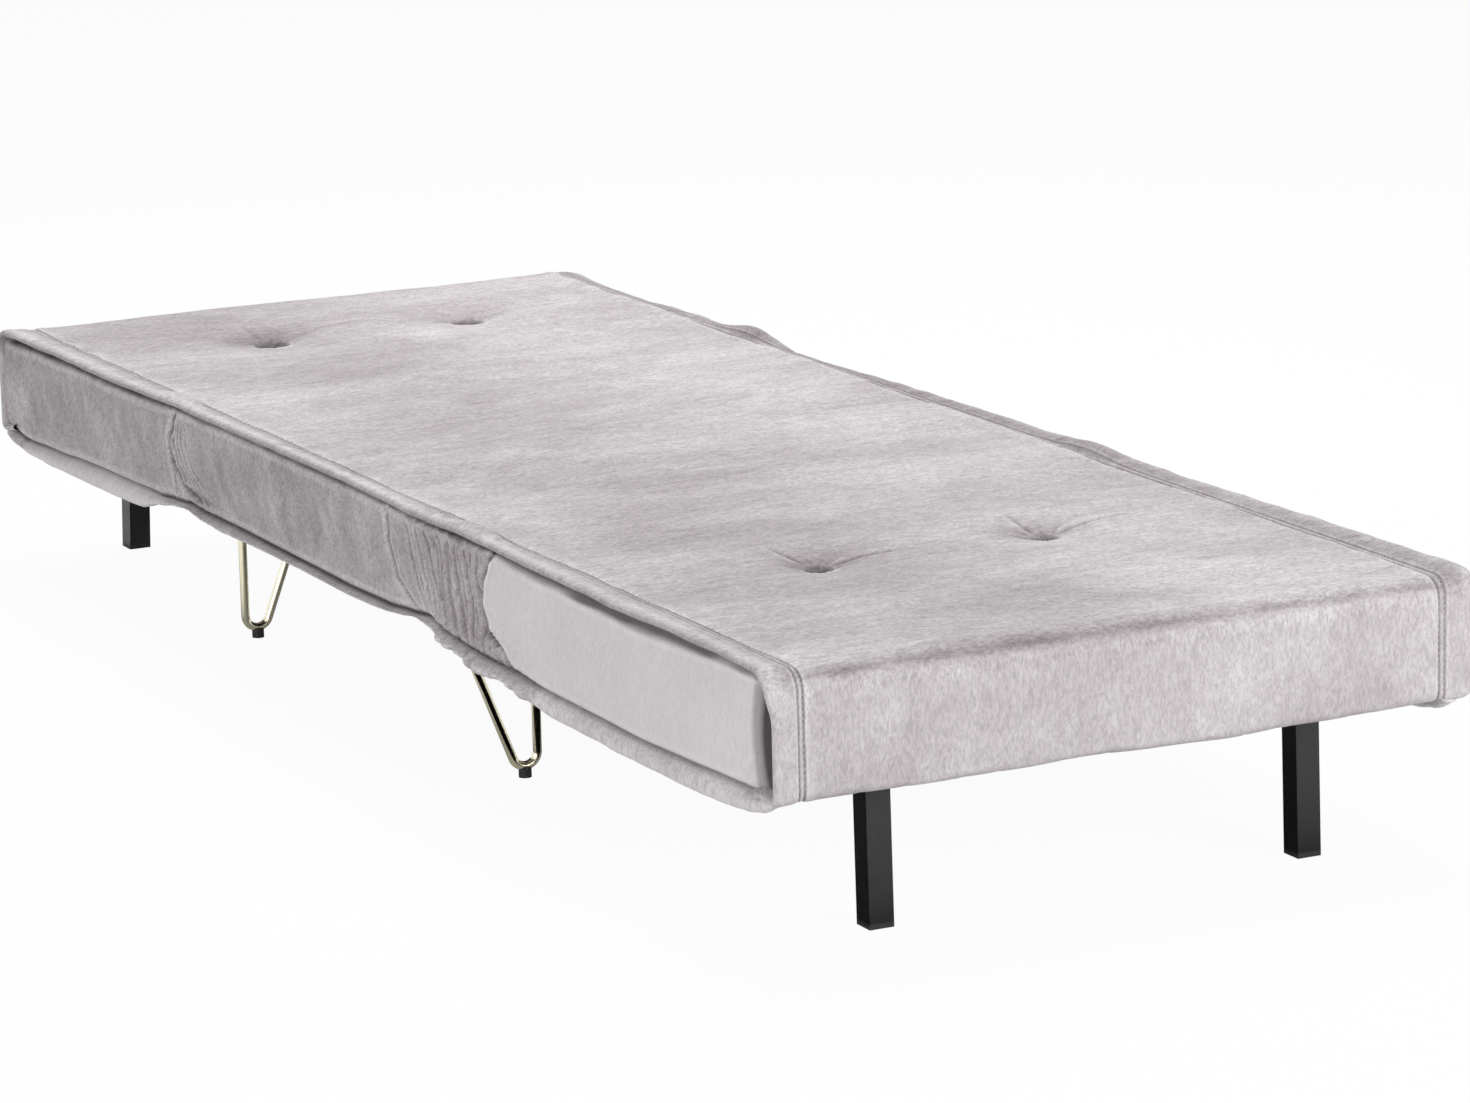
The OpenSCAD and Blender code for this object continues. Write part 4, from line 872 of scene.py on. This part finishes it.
# the thread is painted a dark grey, as shade, to match the shadow in the seam's grooves
THREAD = simple("thread", (0.44, 0.43, 0.44), 0.7, spots=300, depth=0.0002)
BUTTON = simple("button_velvet", (0.36, 0.355, 0.37), 0.85, spots=120, depth=0.0004)
FOAM = simple("foam", (0.8, 0.76, 0.6), 0.9, spots=160, depth=0.0015, vary=0.08)
WADDING = simple("wadding", (0.82, 0.82, 0.8), 0.95, spots=50, depth=0.003, vary=0.06)
DUST = simple("dust_cloth", (0.035, 0.035, 0.038), 0.95, spots=500, depth=0.0004, vary=0.3)
WOOD = simple("birch", (0.62, 0.45, 0.27), 0.55, spots=7, depth=0.0006, vary=0.22, stretch=(0.6, 9, 9))
FRAME = simple("frame_coat", (0.045, 0.045, 0.048), 0.5, spots=60, depth=0.0003)
PLATE = simple("plate_coat", (0.06, 0.06, 0.064), 0.45, spots=60, depth=0.0003)
ZINC = simple("zinc", (0.62, 0.63, 0.64), 0.35, 1.0, spots=90, depth=0.0003)
GOLD = simple("gold", (0.97, 0.91, 0.68), 0.12, 1.0, spots=25, depth=0.00006, vary=0.06, wear=0.05)
BLACK = simple("black_coat", (0.006, 0.006, 0.0062), 0.38, spots=70, depth=0.0003, vary=0.25)
PLUG = simple("black_plastic", (0.02, 0.02, 0.021), 0.5, spots=120, depth=0.0003, vary=0.2)
NYLON = simple("nylon", (0.85, 0.85, 0.84), 0.5, spots=200, depth=0.0002)

# The first of these words that is in a node's name gives the node its material
LOOKS = (
    ("hairpin_feet", PLUG), ("screws", ZINC), ("hairpin_", GOLD), ("buttons", BUTTON), ("_ties", NYLON),
    ("plug", PLUG), ("plate", PLATE), ("rivets", ZINC), ("pins", ZINC), ("bolts", ZINC), ("pawl_", ZINC),
    ("_leg", BLACK), ("_slats", WOOD), ("_frame", FRAME),
)
for name, obj in NODES.items():
    look = next((material for word, material in LOOKS if word in name), None)
    if look is not None:
        if not obj.material_slots:
            obj.data.materials.append(look)
        for slot in obj.material_slots:
            slot.material = look


# Covers

def across_joint(obj, half):
    """Bakes a half's place into its points; both halves are handled alike."""
    if half == "foot":
        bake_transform(obj)
    else:
        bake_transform(obj)


TOP = top_sheet()
TOP_CUT = int(np.argmin(np.abs(SY - CUT) + 9 * (SZ < 260)))


def build_covers():
    """The cover's foot half and back half, which share the row of points at the cut."""
    foot_skin, back_skin = Skin(), Skin()
    back_skin.add(*TOP, False, end=TOP_CUT + 1)
    foot_skin.add(*TOP, False, first=TOP_CUT)
    side_cut = int(np.argmin(np.abs(SIDE_Y - CUT)))
    for side in (-1, 1):
        for grid in (side_sheet(side), hem_sheet(side)):
            foot_skin.add(*grid, side > 0, end=side_cut + 1)
            back_skin.add(*grid, side > 0, first=side_cut)
    for skin, section in ((foot_skin, "flap"), (back_skin, "back")):
        points, tone, grain, keep_faces = under_sheet(section)
        skin.add(points, tone, grain, section == "flap", keep_faces=keep_faces)
    return foot_skin.build("cover_foot_half", VELVET), back_skin.build("cover_back_half", VELVET)


foot_cover, back_cover = build_covers()
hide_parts("flap_cover", "base_cover")
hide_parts("back_cover")
for cover, half in ((foot_cover, "foot"), (back_cover, "back")):
    across_joint(cover, half)

# A stitch: distance to the next one, length and points round it, then its rings as share of the
# length, radius and height
STITCH_PITCH, STITCH_LENGTH, STITCH_SIDES = 5.4, 4.2, 5
STITCH_SHAPE = ((0, 0.15, -0.2), (0.22, 0.55, 0.22), (0.78, 0.55, 0.22), (1, 0.15, -0.2))


def seam_line(x):
    """The line over the top's cloth that lies at a distance from the middle, by the path's rows."""
    j = int(np.searchsorted(XS, x))
    share = (x - XS[j - 1]) / (XS[j] - XS[j - 1])
    return TOP[0][:, j - 1] * (1 - share) + TOP[0][:, j] * share


def stitches(name, low, high):
    """Rows of small stitches beside both long seams, from one length along the path to another."""
    points, faces = [], []
    for x in (-PANEL + ROW, PANEL - ROW, -PANEL - ROW, PANEL + ROW):
        line = seam_line(x)
        for middle in np.arange(low + 3, high - 3, STITCH_PITCH):
            ends = (middle - STITCH_LENGTH / 2, middle + STITCH_LENGTH / 2)
            a, b = (np.array([np.interp(end, S, line[:, k]) for k in range(3)]) for end in ends)
            normal = np.array([0, np.interp(middle, S, NY), np.interp(middle, S, NZ)])
            aside = np.cross((b - a) / np.linalg.norm(b - a), normal)
            first = len(points)
            for share, radius, up in STITCH_SHAPE:
                centre = a + (b - a) * share + normal * up
                for g in range(STITCH_SIDES):
                    turn = 2 * math.pi * g / STITCH_SIDES
                    points.append(centre + radius * (math.cos(turn) * aside + math.sin(turn) * normal))
            for k in range(len(STITCH_SHAPE) - 1):
                for g in range(STITCH_SIDES):
                    p = first + STITCH_SIDES * k + g
                    q = first + STITCH_SIDES * k + (g + 1) % STITCH_SIDES
                    faces.append((p, q, q + STITCH_SIDES, p + STITCH_SIDES))
    obj = add_mesh(name, (np.array(points) * MM).tolist(), faces, THREAD)
    return obj


# The stitches stop short of the path's ends, which are tucked under the bed
TUCKED = 42
across_joint(stitches("stitching_foot_half", S[TOP_CUT], S[-1] - TUCKED), "foot")
across_joint(stitches("stitching_back_half", TUCKED, S[TOP_CUT]), "back")

# A covered button in section, as radius and height above its middle
BUTTON_SHAPE = [
    (0.05, 5.6), (2, 5.5), (4, 5.1), (6, 4.3), (7.6, 3.3), (8.8, 2.1), (9.6, 0.9), (9.9, -0.4), (9.4, -1.3),
    (8.2, -1.6),
]
BUTTON_Z, BUTTON_PLEATS = 244.2, 16


def buttons(name, node, ty, body):
    """Covered buttons: domes of velvet with small pleats round their edges."""
    skin = Skin()
    radii, heights = zip(*BUTTON_SHAPE)
    for side in (-1, 1):
        ring, turn = np.meshgrid(radii, np.linspace(0, 2 * math.pi, 49), indexing="ij")
        pleats = 0.25 * (1 + np.cos(BUTTON_PLEATS * turn)) * smooth((ring - 5) / 4)
        x, y = side * TUFT_X + ring * np.cos(turn), ty + ring * np.sin(turn)
        z = BUTTON_Z + np.array(heights)[:, None] - pleats
        # the domes are painted darker towards their edges, as shade where they sink into the cloth
        skin.add(np.stack([x, y, z], -1), 0.45 - 0.3 * smooth((ring - 7) / 3), 0 * ring, False)
    obj = skin.build(name, VELVET)
    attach(obj, body)
    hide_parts(node)


buttons("button_covers_back", "back_tuft_buttons", BACK_TUFT, "backrest")
buttons("button_covers_foot", "flap_tuft_buttons", FLAP_TUFT, "foot_section")


# Fillings inside the covers

def trim(mesh, joint, top_z, toward):
    """Cuts the upper edge off a foam block beside a joint, so that it stays inside the bent cloth."""
    setback = 0.023
    bm = bmesh.new()
    bm.from_mesh(mesh)
    place = Vector((0, joint + toward * setback, top_z))
    cut = bmesh.ops.bisect_plane(bm, geom=bm.verts[:] + bm.edges[:] + bm.faces[:], plane_co=place,
                                 plane_no=Vector((0, -toward, 1)), clear_outer=True)
    rim = [e for e in cut["geom_cut"] if isinstance(e, bmesh.types.BMEdge)]
    bmesh.ops.triangle_fill(bm, use_beauty=True, edges=rim)
    bm.to_mesh(mesh)
    bm.free()


# How far from a joint a foam block may begin and still be cut there, in metres
BESIDE_JOINT = 0.03
for node, look, slot, body in (
    ("base_foam", FOAM, "foam", "seat"), ("back_foam", FOAM, "foam", "backrest"),
    ("flap_foam", FOAM, "foam", "foot_section"), ("back_under_pad", WADDING, "wadding", "backrest"),
    ("flap_under_pad", WADDING, "wadding", "foot_section"), ("base_dust_cloth", DUST, "dust_cloth", "seat"),
):
    mesh = NODES[node].data.copy()
    low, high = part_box(node)
    for joint in (BACK_JOINT * MM, FLAP_JOINT * MM):
        for near, toward in ((low.y, 1), (high.y, -1)):
            if slot == "foam" and abs(near - joint) < BESIDE_JOINT:
                trim(mesh, joint, high.z, toward)
    mesh.materials.clear()
    mesh.materials.append(look)
    piece = add_object(node + "_soft", mesh)
    bevel = piece.modifiers.new("round", "BEVEL")
    bevel.width = 0.0004 if slot == "dust_cloth" else 0.003
    bevel.segments = 2
    bevel.limit_method = "ANGLE"
    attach(piece, body)
    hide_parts(node)


# Floor, light and camera

def stage_sheet(name, corners, z, material):
    """A flat sheet of the stage."""
    points, face = [(x, y, z) for x, y in corners], tuple(range(len(corners)))
    obj = add_mesh(name, points, [face], material, soft=False)
    return obj


def floor_material():
    """A matt floor that shows as white, with a trace of the object's shadow."""
    seen_glow = 0.95
    material = bpy.data.materials.new("floor")
    material.use_nodes = True
    tree = material.node_tree
    tree.nodes.clear()
    diffuse = add_node(tree, "BsdfDiffuse", {"Color": (0.94, 0.94, 0.94)}).outputs[0]
    glow = add_node(tree, "Emission", {"Color": (1, 1, 1), "Strength": 1.0}).outputs[0]
    seen = tree.nodes.new("ShaderNodeLightPath").outputs["Is Camera Ray"]
    share = worked_out(tree, "MULTIPLY", seen, seen_glow)
    both = add_node(tree, "MixShader", {0: share, 1: diffuse, 2: glow}).outputs[0]
    add_node(tree, "OutputMaterial", {"Surface": both})
    return material


def dark_flag():
    """A dark sheet on the floor that only shows in the gold of the front hairpin legs."""
    felt, _, shader = new_material("black_felt")
    set_inputs(shader, {"Base Color": (0.002, 0.002, 0.002), "Specular IOR Level": 0, "Roughness": 1})
    corners = [(-1.7, -0.97), (0.6, -0.97), (0.6, -0.3), (-0.42, -0.3), (-0.5, -0.12), (-1.7, -0.12)]
    flag = stage_sheet("dark_flag", corners, 0.002, felt)
    flag.visible_camera = flag.visible_diffuse = flag.visible_shadow = flag.visible_transmission = False


def studio_world():
    """White to the camera and in reflections, and dimmer as a light."""
    dimmed = 0.30
    world = bpy.data.worlds.new("studio")
    bpy.context.scene.world = world
    world.use_nodes = True
    tree = world.node_tree
    rays = tree.nodes.new("ShaderNodeLightPath").outputs
    seen = worked_out(tree, "MAXIMUM", rays["Is Camera Ray"], rays["Is Glossy Ray"])
    set_inputs(tree.nodes["Background"], {"Color": (1, 1, 1), "Strength": span(tree, seen, to_low=dimmed)})


def lamp(name, at, to, size, power):
    """A rectangular lamp that looks from one place to another."""
    data = bpy.data.lights.new(name, "AREA")
    data.shape = "RECTANGLE"
    data.size, data.size_y = size
    data.energy = power
    obj = add_object(name, data)
    obj.location = at
    obj.rotation_mode = "QUATERNION"
    obj.rotation_quaternion = (Vector(to) - Vector(at)).to_track_quat("-Z", "Y")
    obj.visible_camera = False


def camera():
    """The photograph's camera, fitted to its picture."""
    yaw, pitch, roll = math.radians(26.58), math.radians(-12.80), math.radians(-1.329)
    place = (-2.6411, -5.4571, 1.5203)
    # the first two in pixels, the last in millimetres
    photo_width, focal_length, sensor_width = 1470, 5967.7, 36
    ahead = Vector((math.sin(yaw) * math.cos(pitch), math.cos(yaw) * math.cos(pitch), math.sin(pitch)))
    level = Vector((math.cos(yaw), -math.sin(yaw), 0))
    upright = level.cross(ahead)
    right = math.cos(roll) * level + math.sin(roll) * upright
    up = math.cos(roll) * upright - math.sin(roll) * level
    cam = add_object("camera", bpy.data.cameras.new("camera"))
    cam.matrix_world = Matrix([(right[k], up[k], -ahead[k], place[k]) for k in range(3)] + [(0, 0, 0, 1)])
    cam.data.sensor_width = sensor_width
    cam.data.lens = sensor_width * focal_length / photo_width
    cam.data.clip_start, cam.data.clip_end = 0.1, 100
    bpy.context.scene.camera = cam


stage_sheet("floor", [(-40, -40), (40, -40), (40, 40), (-40, 40)], 0.0, floor_material())
dark_flag()
studio_world()
lamp("top_soft", (0.7, 1.2, 3.0), (0.0, 0.0, 0.2), (1.9, 2.6), 78)
lamp("front_soft", (1.2, -4.2, 1.3), (0.0, -0.6, 0.2), (2.0, 1.4), 84)
lamp("left_soft", (-3.8, -1.8, 1.4), (-0.3, 0.0, 0.2), (1.6, 1.2), 50)
camera()
bpy.context.scene.view_settings.view_transform = "Standard"
